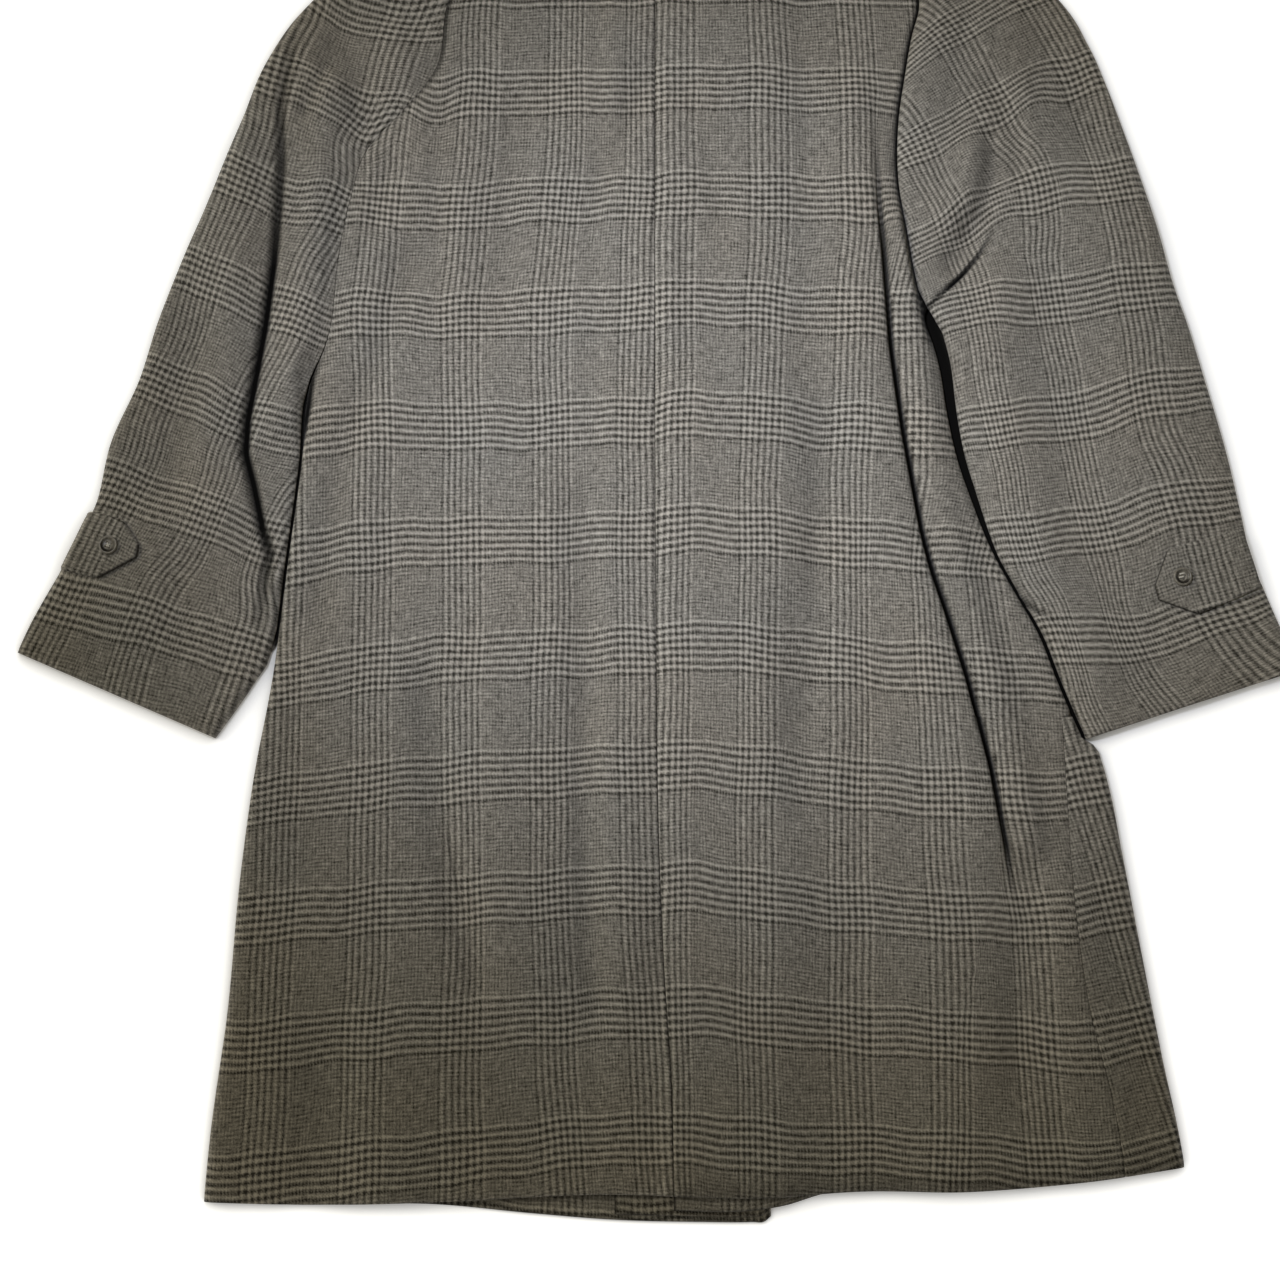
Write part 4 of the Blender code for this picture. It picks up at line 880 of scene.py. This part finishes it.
# Where the check's bands cross on the sleeves: place, and number of the band
# along and across the cloth; 9 stands for a place between two bands
LEFT_CROSSINGS = (
    (-0.2986, 0.4446, 0, -1), (-0.3162, 0.3598, 0, -2), (-0.3421, 0.2851, 0, -3), (-0.3693, 0.1970, 0, -4),
    (-0.3962, 0.1153, 0, -5), (-0.4384, 0.0281, 0, -6), (-0.3341, 0.3623, 9, -2), (-0.3633, 0.2851, 9, -3),
    (-0.3905, 0.2019, 9, -4), (-0.4148, 0.1177, 9, -5), (-0.4568, 0.0304, 9, -6), (-0.2396, 0.3348, 1, -2),
    (-0.2750, 0.2482, 1, -3), (-0.3123, 0.1668, 1, -4), (-0.3352, 0.0916, 1, -5), (-0.3804, 0.0118, 1, -6),
    (-0.2897, 0.0727, 2, -5), (-0.2996, -0.0138, 2, -6), (-0.2733, 0.4408, 9, -1), (-0.2212, 0.4141, 1, -1),
    (-0.2944, 0.3448, 9, -2), (-0.3012, 0.2605, 9, -3), (-0.2500, 0.5060, 9, 0), (-0.2180, 0.4895, 9, 0),
    (-0.2750, 0.5300, 0, 0), (-0.1700, 0.6000, 1, 1), (-0.3160, -0.0666, 2, -6.63),
    (-0.4778, -0.0068, -0.3, -6.49),
)
RIGHT_CROSSINGS = (
    (0.2012, 0.3890, -2, -1), (0.2265, 0.3951, 9, -1), (0.2661, 0.4218, 9, -1), (0.3126, 0.4413, 9, -1),
    (0.3301, 0.4499, 0, -1), (0.2592, 0.4218, -1, -1), (0.3690, 0.3613, 9, -2), (0.3323, 0.3516, 9, -2),
    (0.2868, 0.3516, 9, -2), (0.2545, 0.3349, 9, -2), (0.2049, 0.3015, 9, -2), (0.3506, 0.3564, 0, -2),
    (0.2970, 0.3516, -1, -2), (0.3926, 0.2754, 9, -3), (0.3653, 0.2684, 0, -3), (0.2996, 0.2589, -1, -3),
    (0.2455, 0.2566, -2, -3), (0.2275, 0.2566, 9, -3), (0.4137, 0.1935, 9, -4), (0.3731, 0.1854, 0, -4),
    (0.3144, 0.1680, -1, -4), (0.2585, 0.1623, -2, -4), (0.2361, 0.1588, 9, -4), (0.4362, 0.1050, 9, -5),
    (0.3973, 0.1027, 0, -5), (0.3290, 0.0823, -1, -5), (0.2735, 0.0732, -2, -5), (0.4568, 0.0327, 9, -6),
    (0.4188, 0.0193, 0, -6), (0.3455, -0.0041, -1, -6), (0.3041, 0.0015, -2, -6),
)
SLEEVES = {
    "left": dict(sign=-1, rows=LEFT_ROWS, outline=BODY_LEFT, underarm=UNDERARM_LEFT,
                 folds=LEFT_SLEEVE_FOLDS, slits=LEFT_SLEEVE_SLITS, crossings=LEFT_CROSSINGS),
    "right": dict(sign=1, rows=RIGHT_ROWS, outline=BODY_RIGHT, underarm=UNDERARM_RIGHT,
                  folds=RIGHT_SLEEVE_FOLDS, slits=RIGHT_SLEEVE_SLITS, crossings=RIGHT_CROSSINGS),
}
SLEEVE_MIDDLE = (0.33, 0.20)  # about the middle of a sleeve, to the side and up the coat
CROSSING_REACH = 0.030       # how far a crossing draws the check to itself
SEAM_DIP = 0.014             # how far in from its seam a sleeve begins to dip towards it
SLEEVE_OVER = SEAM_LOW + LAYER  # the right sleeve's fold lies over the body's side,
SLEEVE_OVER_END = SEAM_LOW + WALL / 2 + 0.0014  # and turns down onto it


def sleeve_lines(side):
    """Outer and inner line of a sleeve, row by row, and how far each row is sewn to the body."""
    sleeve = SLEEVES[side]
    rows, outline = sleeve["rows"], sleeve["outline"]
    knots = np.arange(len(rows["outer_x"]), dtype=float)
    inner_y = rows_up(rows["inner_y"][0], rows["inner_y"][-1], 280)
    at = np.interp(inner_y, rows["inner_y"], knots)
    outer = np.stack([smooth(at, knots, rows["outer_x"]), smooth(at, knots, rows["outer_y"])], axis=1)
    gap = np.interp(at, knots, rows["gap"])
    sewn = ease(inner_y, sleeve["underarm"] - 0.020, sleeve["underarm"] + 0.004)
    inner_x = smooth(inner_y, outline["y"], outline["x"]) + sleeve["sign"] * gap
    return outer, np.stack([inner_x, inner_y], axis=1), gap, sewn


def terms(x, y):
    """Terms of a smooth surface of the third degree in y and the second in x."""
    x = (x - np.sign(x) * SLEEVE_MIDDLE[0]) / 0.1
    y = (y - SLEEVE_MIDDLE[1]) / 0.2
    return np.stack([np.ones_like(x), x, y, x * y, y * y, x * x, y ** 3, x * y * y, x * x * y], axis=-1)


def sleeve_cloth(side, x, y):
    points = np.array(SLEEVES[side]["crossings"])
    known = points[:, 2] < 9
    at = terms(points[:, 0], points[:, 1])
    calm = np.diag([0, 0, 0, 0.1, 0.1, 0.2, 0.3, 0.3, 0.3])
    none = np.zeros(len(calm))
    across = np.linalg.lstsq(np.vstack([at[known], calm]), np.append(points[known, 2], none), rcond=None)[0]
    along = np.linalg.lstsq(np.vstack([at, calm]), np.append(points[:, 3], none), rcond=None)[0]
    here = terms(x, y)
    places = []
    for found, kept, column in ((across, points[known], 2), (along, points, 3)):
        left_over = kept[:, column] - terms(kept[:, 0], kept[:, 1]) @ found
        apart = np.hypot(x[..., None] - kept[:, 0], y[..., None] - kept[:, 1])
        near = np.exp(-(apart / CROSSING_REACH) ** 2)
        places.append(here @ found + near @ left_over / (near.sum(axis=-1) + 0.15))
    return np.stack([places[0] * WARP_REPEAT, places[1] * WEFT_REPEAT], axis=-1)


def sleeve_upper(side):
    """The layer that shows: turned down at its folds, dipped at the seam, slit at its creases.

    Painted shade darkens its creases, its troughs and the cloth beside its seam.
    """
    sleeve = SLEEVES[side]
    folds, slits, underarm = sleeve["folds"], sleeve["slits"], sleeve["underarm"]
    outer, inner, _, sewn = sleeve_lines(side)
    laps_back = 1.0 if side == "right" else 0.0
    over = laps_back * ease(inner[:, 1], underarm - 0.075, underarm - 0.036)
    folded = np.maximum(1 - sewn, laps_back)
    direction = inner - outer
    direction /= np.linalg.norm(direction, axis=1, keepdims=True)
    start = outer + direction * WALL / 2
    end = inner - direction * (WALL * folded + SEAM * (1 - folded))[:, None] / 2
    width = np.linalg.norm(end - start, axis=1)
    turn = np.minimum(EDGE_TURN, 0.25 * width)
    margin = np.minimum(turn + SLIT_ROOM, 0.49 * width)
    at = crossing(start, direction, width, slits[0][1], margin)
    lead = [turn * share for share in TURN_SHARES[::-1]]
    tail = [width - turn * share for share in TURN_SHARES]
    scale = np.minimum(1, (margin - turn) / 0.0130)
    across = slit_columns(at, lead, tail, 26, 22, scale)
    x = start[:, :1] + direction[:, :1] * across
    y = start[:, 1:] + direction[:, 1:] * across
    from_inner = width[:, None] - across
    calm = neck_calm(y)
    above = loft(x, y, folds) * calm + LEAST_LOFT * (1 - calm)
    lift = (SLEEVE_OVER - BACK_LOW) * over[:, None] * (1 - ease(from_inner, 0.014, 0.045))
    high = BACK_LOW + above + lift
    end_low = FOLD_END + (SLEEVE_OVER_END - FOLD_END) * over
    folded_z = turned_edge(from_inner, high, end_low[:, None], turn[:, None])
    seam_low = seam_level(sleeve["sign"], y)
    sewn_z = seam_low + (high - seam_low) * ease(from_inner, 0, SEAM_DIP)
    z = folded_z * folded[:, None] + sewn_z * (1 - folded[:, None])
    z = turned_edge(across, z, FOLD_END, turn[:, None])
    z = z - pressed(np.hypot(x - x[0], y - y[0]))
    base = np.stack([x, y, z], axis=2)
    normal = surface_normal(base)
    normal[folded < 0.5, -1] = (0, 0, 1)
    top = base + normal * WALL / 2
    inside = ease(across, 0.5 * turn[:, None], 1.2 * turn[:, None])
    near_over = 1 - over[:, None] * (1 - ease(from_inner, 0.010, 0.020)) * 0.5
    slit = slit_depth(x, y, slits)
    top[:, :, 2] -= slit * (above - LEAST_LOFT) * inside * near_over
    if side == "left":
        closer = lips(across - at[:, None], x, y, slits[0][1], 0.0036, 0.0018, 0.0004)
        top[:, :, :2] += closer[:, :, None] * direction[:, None, :]
    upper_seam_shade = sewn[:, None] * (1 - laps_back) * (1 - ease(from_inner, *SEAM_SHADE))
    shade = np.maximum(np.maximum(slit * inside, 0.2 * upper_seam_shade), trough_shade(x, y, folds))
    return shell(f"sleeve_{side}_back_cloth", top, -normal, sleeve_cloth(side, x, y), coat_wool, shade=shade)


def sleeve_under(side):
    """The layer that lies on the table, up to the body's own where the gap is narrow, with painted shade
    there.
    """
    outer, inner, gap, sewn = sleeve_lines(side)
    narrow = 1 - (side == "left") * ease(gap, 0.0030, 0.0050)
    inner[:, 0] += SLEEVES[side]["sign"] * (SEAM * (1 - sewn / 2) - gap * narrow)
    share = np.linspace(0, 1, 30)
    plan = outer[:, None] + (inner - outer)[:, None] * share[None, :, None]
    top = np.concatenate([plan, np.full((*plan.shape[:2], 1), WALL - 0.0001)], axis=2)
    from_inner = np.linalg.norm(plan - inner[:, None], axis=2)
    shade = (1 - ease(from_inner, 0.012, 0.024)) * narrow[:, None]
    return shell(f"sleeve_{side}_front_cloth", top, DOWN, sleeve_cloth(side, plan[:, :, 0], plan[:, :, 1]),
                 coat_wool, wall=WALL - 0.0002, shade=shade)


for side, width, area in (("left", 0.215, 0.115), ("right", 0.225, 0.120)):
    under = sleeve_under(side)
    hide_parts(f"sleeve_{side}_front")
    upper = sleeve_upper(side)
    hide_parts(f"sleeve_{side}_back")

# Collar
# One band of the coat's cloth, which stands up from the neck seam, folds over
# at its top and falls back over the coat.
COLLAR_HALF = 0.118          # half of the flattened collar's length
COLLAR_TURN = 0.0038         # radius of the fold at its top
collar_x = COLLAR_HALF * np.sin(np.linspace(-np.pi / 2, np.pi / 2, 90))
collar_seam = np.full_like(collar_x, NECK + SEAM)
collar_top = 0.702 - 1.8 * collar_x ** 2 - COLLAR_TURN
collar_end = 0.612 + 1.0 * collar_x ** 2 + 0.030 * (np.abs(collar_x) / COLLAR_HALF) ** 8
collar_angle = np.radians(np.arange(0, 181, 12))
stand = collar_seam[:, None] + (collar_top - collar_seam)[:, None] * np.linspace(0, 1, 8)[None, :-1]
fold = collar_top[:, None] + COLLAR_TURN * np.sin(collar_angle)[None, :]
fall_shares = np.linspace(0, 1, 24)[1:]
fall = collar_top[:, None] + (collar_end - collar_top)[:, None] * fall_shares[None, :]
collar_y = np.concatenate([stand, fold, fall], axis=1)
collar_low = BACK_LOW + 0.0006
collar_turned = collar_low + COLLAR_TURN * (1 - np.cos(collar_angle))
collar_level = np.concatenate([np.full(stand.shape[1], collar_low), collar_turned,
                               np.full(fall.shape[1], collar_turned[-1])])
collar_wide = np.broadcast_to(collar_x[:, None], collar_y.shape)
collar_z = collar_level[None, :] + lap_height(collar_wide, collar_y)
collar_base = np.stack([collar_wide, collar_y, collar_z], axis=2)
collar_normal = surface_normal(collar_base)
collar_steps = np.linalg.norm(np.diff(collar_base, axis=1), axis=2)
collar_run = np.concatenate([np.zeros((len(collar_x), 1)), collar_steps.cumsum(axis=1)], axis=1)
collar_uv = np.stack([collar_wide + 0.015, 0.030 - collar_run], axis=-1)
collar = shell("collar_cloth", collar_base + collar_normal * WALL / 2, -collar_normal, collar_uv, coat_wool)
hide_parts("collar")

# Sleeve tabs
# Pointed straps of the coat's cloth on its own grain, doubled and pressed,
# wrapped over each sleeve's outer fold.
TAB_WALL = 0.0028
TAB_CLEAR = 0.0007           # gap under a tab, which lies over the sleeve's folds
TAB_EDGE = (0.0012, 0.0011)  # how far its edges are pressed down, and how far in
TAB_STITCHES = (0.00035, 0.0045, 0.0007)  # the stitched line's depth, place from the edge and half-width
TABS = {
    "left": table(
        "upper_x upper_y lower_x lower_y",
        (-0.4235, 0.0957, -0.4431, 0.0513),
        (-0.3988, 0.0891, -0.4152, 0.0444),
        (-0.3850, 0.0690, -0.3864, 0.0596),
    ),
    "right": table(
        "upper_x upper_y lower_x lower_y",
        (0.4390, 0.0834, 0.4514, 0.0383),
        (0.3811, 0.0665, 0.4027, 0.0175),
        (0.3709, 0.0391, 0.3735, 0.0284),
    ),
}


def on_sleeve(side, x, y):
    """Middle points of a sleeve's upper layer, away from its inner fold."""
    outer = sleeve_lines(side)[0]
    line = [(*point, 0.0) for point in outer[::4]]
    across = nearest(x, y, line)[0] - WALL / 2
    z = turned_edge(across, BACK_LOW + loft(x, y, SLEEVES[side]["folds"]), FOLD_END)
    return np.stack([x, y, z], axis=2)


def tab(side):
    """A tab: rows from the sleeve's fold to the point, with its edges pressed thin and painted shade along
    them.
    """
    edges = TABS[side]
    knots = np.array([0.0, 0.60, 1.0])
    share = 0.02 + 0.98 * np.sin(np.linspace(0, np.pi / 2, 44))
    upper = [np.interp(share, knots, edges["upper_" + axis]) for axis in "xy"]
    lower = [np.interp(share, knots, edges["lower_" + axis]) for axis in "xy"]
    across = 0.5 - 0.5 * np.cos(np.linspace(0, np.pi, 40))[None, :]
    x = upper[0][:, None] + (lower[0] - upper[0])[:, None] * across
    y = upper[1][:, None] + (lower[1] - upper[1])[:, None] * across
    on = on_sleeve(side, x, y)
    normal = surface_normal(on)
    to_upper = np.hypot(x - x[:, :1], y - y[:, :1])
    to_lower = np.hypot(x - x[:, -1:], y - y[:, -1:])
    to_lower = np.minimum(to_lower, np.hypot(x - x[-1:], y - y[-1:]))  # the point belongs to it
    to_edge = np.minimum(to_upper, to_lower)
    edge = TAB_EDGE[0] * np.exp(-(to_edge / TAB_EDGE[1]) ** 2)
    stitched = TAB_STITCHES[0] * np.exp(-((to_edge - TAB_STITCHES[1]) / TAB_STITCHES[2]) ** 2)
    height = (WALL / 2 + TAB_CLEAR + TAB_WALL - edge - stitched)[:, :, None]
    grain_x, grain_y = upper[0][0] - lower[0][0], upper[1][0] - lower[1][0]
    length = np.hypot(grain_x, grain_y)
    along = ((x - lower[0][0]) * grain_x + (y - lower[1][0]) * grain_y) / length
    over = ((x - lower[0][0]) * grain_y - (y - lower[1][0]) * grain_x) / length
    warp_at = 0.030 + over if side == "right" else 0.012 - over
    # Painted shade along the tab's lower edge and point, and on the right tab along its upper edge near the
    # point
    line = 0.85 * np.exp(-(to_lower / 0.0010) ** 2) * (0.25 + 0.75 * ease(share, 0.45, 0.65))[:, None]
    if side == "right":
        line = np.maximum(line, 0.85 * np.exp(-(to_upper / 0.0011) ** 2) * ease(share, 0.55, 0.65)[:, None])
    return shell(f"sleeve_tab_{side}_cloth", on + normal * height, -normal,
                 np.stack([warp_at, along + 0.0205], axis=-1), coat_wool, wall=0.0014, shade=line)


for side in SLEEVES:
    strap = tab(side)
    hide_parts(f"sleeve_tab_{side}")

# Sleeve buttons
# Horn buttons with a raised rim and four holes, sewn on the tabs with thread.
BUTTON_RADIUS = 0.0070
BUTTON_HEIGHT = 0.0032
BUTTON_CENTRES = {"left": (-0.4079, 0.0690), "right": (0.3913, 0.0452)}
BUTTON_PROFILE = table(
    "r z",
    (0.00, 0.00), (0.78, 0.00), (0.92, 0.12), (1.00, 0.42), (1.00, 0.66), (0.97, 0.86), (0.90, 1.00),
    (0.82, 1.00), (0.74, 0.92), (0.66, 0.76), (0.60, 0.68), (0.45, 0.63), (0.30, 0.60), (0.22, 0.59),
    (0.12, 0.58), (0.00, 0.58),
)
HOLE_REACH = 0.0019          # from a button's middle to the middle of a hole
HOLE_RADIUS = 0.00062
HOLE_DEPTH = 0.0013
HOLE_ANGLES = np.radians([25, 115, 205, 295])
GROOVE_SHADE = (0.64, 0.15)        # middle and half-width of the painted shade in the rim's groove, in button radii
THREAD_HALF = (0.00060, 0.00025)  # half the width and height of a stitch's bundle of thread
THREAD_ARCH = 0.0004

# Two stitches on each button in turn: middle, and angle in degrees
STITCHES = {
    "left": ((0.0, 0.0, 25), (0.0, 0.0, 115)),
    "right": ((-0.0004, 0.0022, 12), (-0.0010, -0.0004, 12)),
}


def horn(name, centre):
    """Polished horn with streaks, with painted shade in the groove inside the rim, most of all on its lower
    side.
    """
    made, tree, shader = new_material(name)
    place = tree.nodes.new("ShaderNodeTexCoord").outputs["Object"]
    streaks = noise(tree, place, 900.0, 4.0)
    cloud = noise(tree, place, 350.0, 3.0)
    colour = mix(tree, calc(tree, "MULTIPLY", streaks, cloud), (0.085, 0.078, 0.066), (0.56, 0.52, 0.45))
    right, up = (calc(tree, "SUBTRACT", axis, middle) for axis, middle in zip(axes_of(tree, place), centre))
    squares = calc(tree, "ADD", calc(tree, "MULTIPLY", right, right), calc(tree, "MULTIPLY", up, up))
    reach = calc(tree, "SQRT", squares)
    # Painted shade: a ring in the groove, darker towards the button's lower side and broken by noise
    to_groove = calc(tree, "ABSOLUTE", calc(tree, "SUBTRACT", reach, GROOVE_SHADE[0] * BUTTON_RADIUS))
    groove = calc(tree, "LESS_THAN", to_groove, GROOVE_SHADE[1] * BUTTON_RADIUS)
    lower_side_shade = calc(tree, "MULTIPLY", calc(tree, "ADD", up, calc(tree, "MULTIPLY", right, 0.5)), -75.0)
    broken = calc(tree, "ADD", lower_side_shade, calc(tree, "MULTIPLY", noise(tree, place, 420.0), 1.3))
    colour = mix(tree, clamped(tree, calc(tree, "MULTIPLY", groove, broken)), colour, (0.012, 0.010, 0.008))
    tree.links.new(colour, shader.inputs["Base Color"])
    tree.links.new(calc(tree, "ADD", 0.22, calc(tree, "MULTIPLY", cloud, 0.25)), shader.inputs["Roughness"])
    relief(tree, shader, streaks, 0.15, 0.0001)
    return made


def thread():
    """Light sewing thread, twisted."""
    made, tree, shader = new_material("Button thread")
    fuzz = noise(tree, tree.nodes.new("ShaderNodeTexCoord").outputs["Object"], 2500.0)
    tree.links.new(mix(tree, fuzz, (0.38, 0.36, 0.32), (0.85, 0.83, 0.77)), shader.inputs["Base Color"])
    shader.inputs["Roughness"].default_value = 0.7
    relief(tree, shader, fuzz, 0.4, 0.0001)
    return made


def closed_grid(name, points, material):
    """Mesh of a grid that closes on itself around its columns, with a fan at both ends."""
    rings, sides = points.shape[:2]
    index = np.arange(rings * sides).reshape(rings, sides)
    turned = np.roll(index, -1, axis=1)
    quads = np.stack([index[:-1], turned[:-1], turned[1:], index[1:]], axis=-1).reshape(-1, 4)
    ends = [points[0].mean(axis=0), points[-1].mean(axis=0)]
    first = np.stack([turned[0], index[0], np.full(sides, rings * sides)], axis=-1)
    last = np.stack([index[-1], turned[-1], np.full(sides, rings * sides + 1)], axis=-1)
    mesh = bpy.data.meshes.new(name)
    mesh.from_pydata(points.reshape(-1, 3).tolist() + [list(end) for end in ends], [],
                     quads.tolist() + first.tolist() + last.tolist())
    mesh.materials.append(material)
    mesh.shade_smooth()
    made = bpy.data.objects.new(name, mesh)
    bpy.context.scene.collection.objects.link(made)
    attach(made, "root")
    return made


thread_material = thread()
steps = np.linspace(0, 1, 60)
profile_steps = np.linspace(0, 1, len(BUTTON_PROFILE["r"]))
place = np.interp(steps, profile_steps, BUTTON_PROFILE["r"])[1:-1, None]
level = np.interp(steps, profile_steps, BUTTON_PROFILE["z"])[1:-1, None]
round_angle = np.linspace(0, 2 * np.pi, 72, endpoint=False)
ring_x = place * np.cos(round_angle) * BUTTON_RADIUS
ring_y = place * np.sin(round_angle) * BUTTON_RADIUS
ring_z = np.broadcast_to(level * BUTTON_HEIGHT, ring_x.shape)
for hole_angle in HOLE_ANGLES:
    hole_x, hole_y = HOLE_REACH * np.cos(hole_angle), HOLE_REACH * np.sin(hole_angle)
    near_hole = np.exp(-(np.hypot(ring_x - hole_x, ring_y - hole_y) / HOLE_RADIUS) ** 4)
    ring_z = ring_z - HOLE_DEPTH * near_hole * (level > 0.3) * (place < 0.7)
run = np.linspace(-1, 1, 24)
arch = 0.58 * BUTTON_HEIGHT + THREAD_ARCH * np.cos(run * np.pi / 2) ** 0.5
thread_angle = np.linspace(0, 2 * np.pi, 12, endpoint=False)

for side in SLEEVES:
    button_x, button_y = BUTTON_CENTRES[side]
    button_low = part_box(f"sleeve_button_{side}")[0][2]
    ring = np.stack([ring_x + button_x, ring_y + button_y, ring_z + button_low], axis=2)
    button_horn = horn(f"Shaded button horn {side}", (button_x, button_y))
    button = closed_grid(f"sleeve_button_{side}_horn", ring, button_horn)
    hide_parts(f"sleeve_button_{side}")
    for number, (stitch_x, stitch_y, degrees) in enumerate(STITCHES[side]):
        angle = np.radians(degrees)
        middle_x = button_x + stitch_x + run * HOLE_REACH * np.cos(angle)
        middle_y = button_y + stitch_y + run * HOLE_REACH * np.sin(angle)
        middle_z = button_low + arch + THREAD_HALF[1] * number
        aside = THREAD_HALF[0] * np.cos(thread_angle)
        tube = np.stack([
            middle_x[:, None] - np.sin(angle) * aside,
            middle_y[:, None] + np.cos(angle) * aside,
            middle_z[:, None] + THREAD_HALF[1] * np.sin(thread_angle),
        ], axis=2)
        stitch = closed_grid(f"sleeve_button_{side}_thread_{number + 1}", tube, thread_material)

# Surface, light and camera
# A pale table top that glows evenly white, with painted shade close to the
# cloth, a low soft light from the left like a window's, a soft spot from the
# upper left, and the camera above the coat's lower middle.
floor_mesh = bpy.data.meshes.new("floor")
floor_corners = [(x, y, -0.0004) for x, y in ((-3, -3), (3, -3), (3, 3), (-3, 3))]
floor_mesh.from_pydata(floor_corners, [], [(0, 1, 2, 3)])
floor_material, floor_tree, floor_shader = new_material("Pale table")
floor_shader.inputs["Base Color"].default_value = (0.86, 0.86, 0.86, 1.0)
floor_shader.inputs["Roughness"].default_value = 0.9
floor_shader.inputs["Specular IOR Level"].default_value = 0.0
floor_shader.inputs["Emission Color"].default_value = (1.0, 1.0, 1.0, 1.0)

# The table top glows, more away from its middle where the lamps are weaker, so that it looks evenly white,
# and has painted shade close to the cloth
floor_shift = floor_tree.nodes.new("ShaderNodeVectorMath")
floor_shift.operation = "DISTANCE"
floor_tree.links.new(floor_tree.nodes.new("ShaderNodeTexCoord").outputs["Object"], floor_shift.inputs[0])
floor_shift.inputs[1].default_value = (0.08, 0.17, 0.0)
away = calc(floor_tree, "MULTIPLY", floor_shift.outputs["Value"], 1.9)
fading = calc(floor_tree, "MULTIPLY", calc(floor_tree, "MULTIPLY", away, away), -1.0)
glow = calc(floor_tree, "SUBTRACT", 0.98, calc(floor_tree, "POWER", 2.718, fading))
floor_near = floor_tree.nodes.new("ShaderNodeAmbientOcclusion")
floor_near.inputs["Distance"].default_value = 0.025
contact_shade_factor = calc(floor_tree, "POWER", floor_near.outputs["AO"], 2.2)
white = calc(floor_tree, "ADD", 0.35, calc(floor_tree, "MAXIMUM", glow, 0.0))
floor_tree.links.new(calc(floor_tree, "MULTIPLY", white, contact_shade_factor), floor_shader.inputs["Emission Strength"])
floor_mesh.materials.append(floor_material)
floor = bpy.data.objects.new("floor", floor_mesh)
bpy.context.scene.collection.objects.link(floor)

WARM = (1.08, 1.0, 0.77)


def lamp(name, kind, energy, colour, direction):
    """A lamp whose light comes from a direction."""
    made = bpy.data.objects.new(name, bpy.data.lights.new(name, kind))
    made.data.energy = energy
    made.data.color = colour
    made.rotation_euler = Vector(direction).to_track_quat("Z", "Y").to_euler()
    bpy.context.scene.collection.objects.link(made)
    return made


window = lamp("window", "SUN", 0.78, WARM, (-0.85, 0.35, 0.60))
window.data.angle = np.radians(25)
spot_place = Vector((-0.50, 0.28, 1.50))
spot = lamp("overhead", "SPOT", 70.0, (0.96, 1.0, 1.10), spot_place - Vector((0.045, 0.178, 0.0)))
spot.location = spot_place
spot.data.spot_size = np.radians(36.8)
spot.data.spot_blend = 1.0
spot.data.shadow_soft_size = 0.16
world = bpy.data.worlds.new("studio")
world.use_nodes = True
world.node_tree.nodes["Background"].inputs["Color"].default_value = (*WARM, 1.0)
world.node_tree.nodes["Background"].inputs["Strength"].default_value = 0.14
bpy.context.scene.world = world
bpy.context.scene.view_settings.view_transform = "Standard"

camera_data = bpy.data.cameras.new("camera")
camera_data.lens = 60.3
camera_data.sensor_width = 36.0
camera = bpy.data.objects.new("camera", camera_data)
camera.location = (-0.012, -0.2833, 1.5747)
camera.rotation_euler = (np.radians(10.2), 0.0, 0.0)
bpy.context.scene.collection.objects.link(camera)
bpy.context.scene.camera = camera
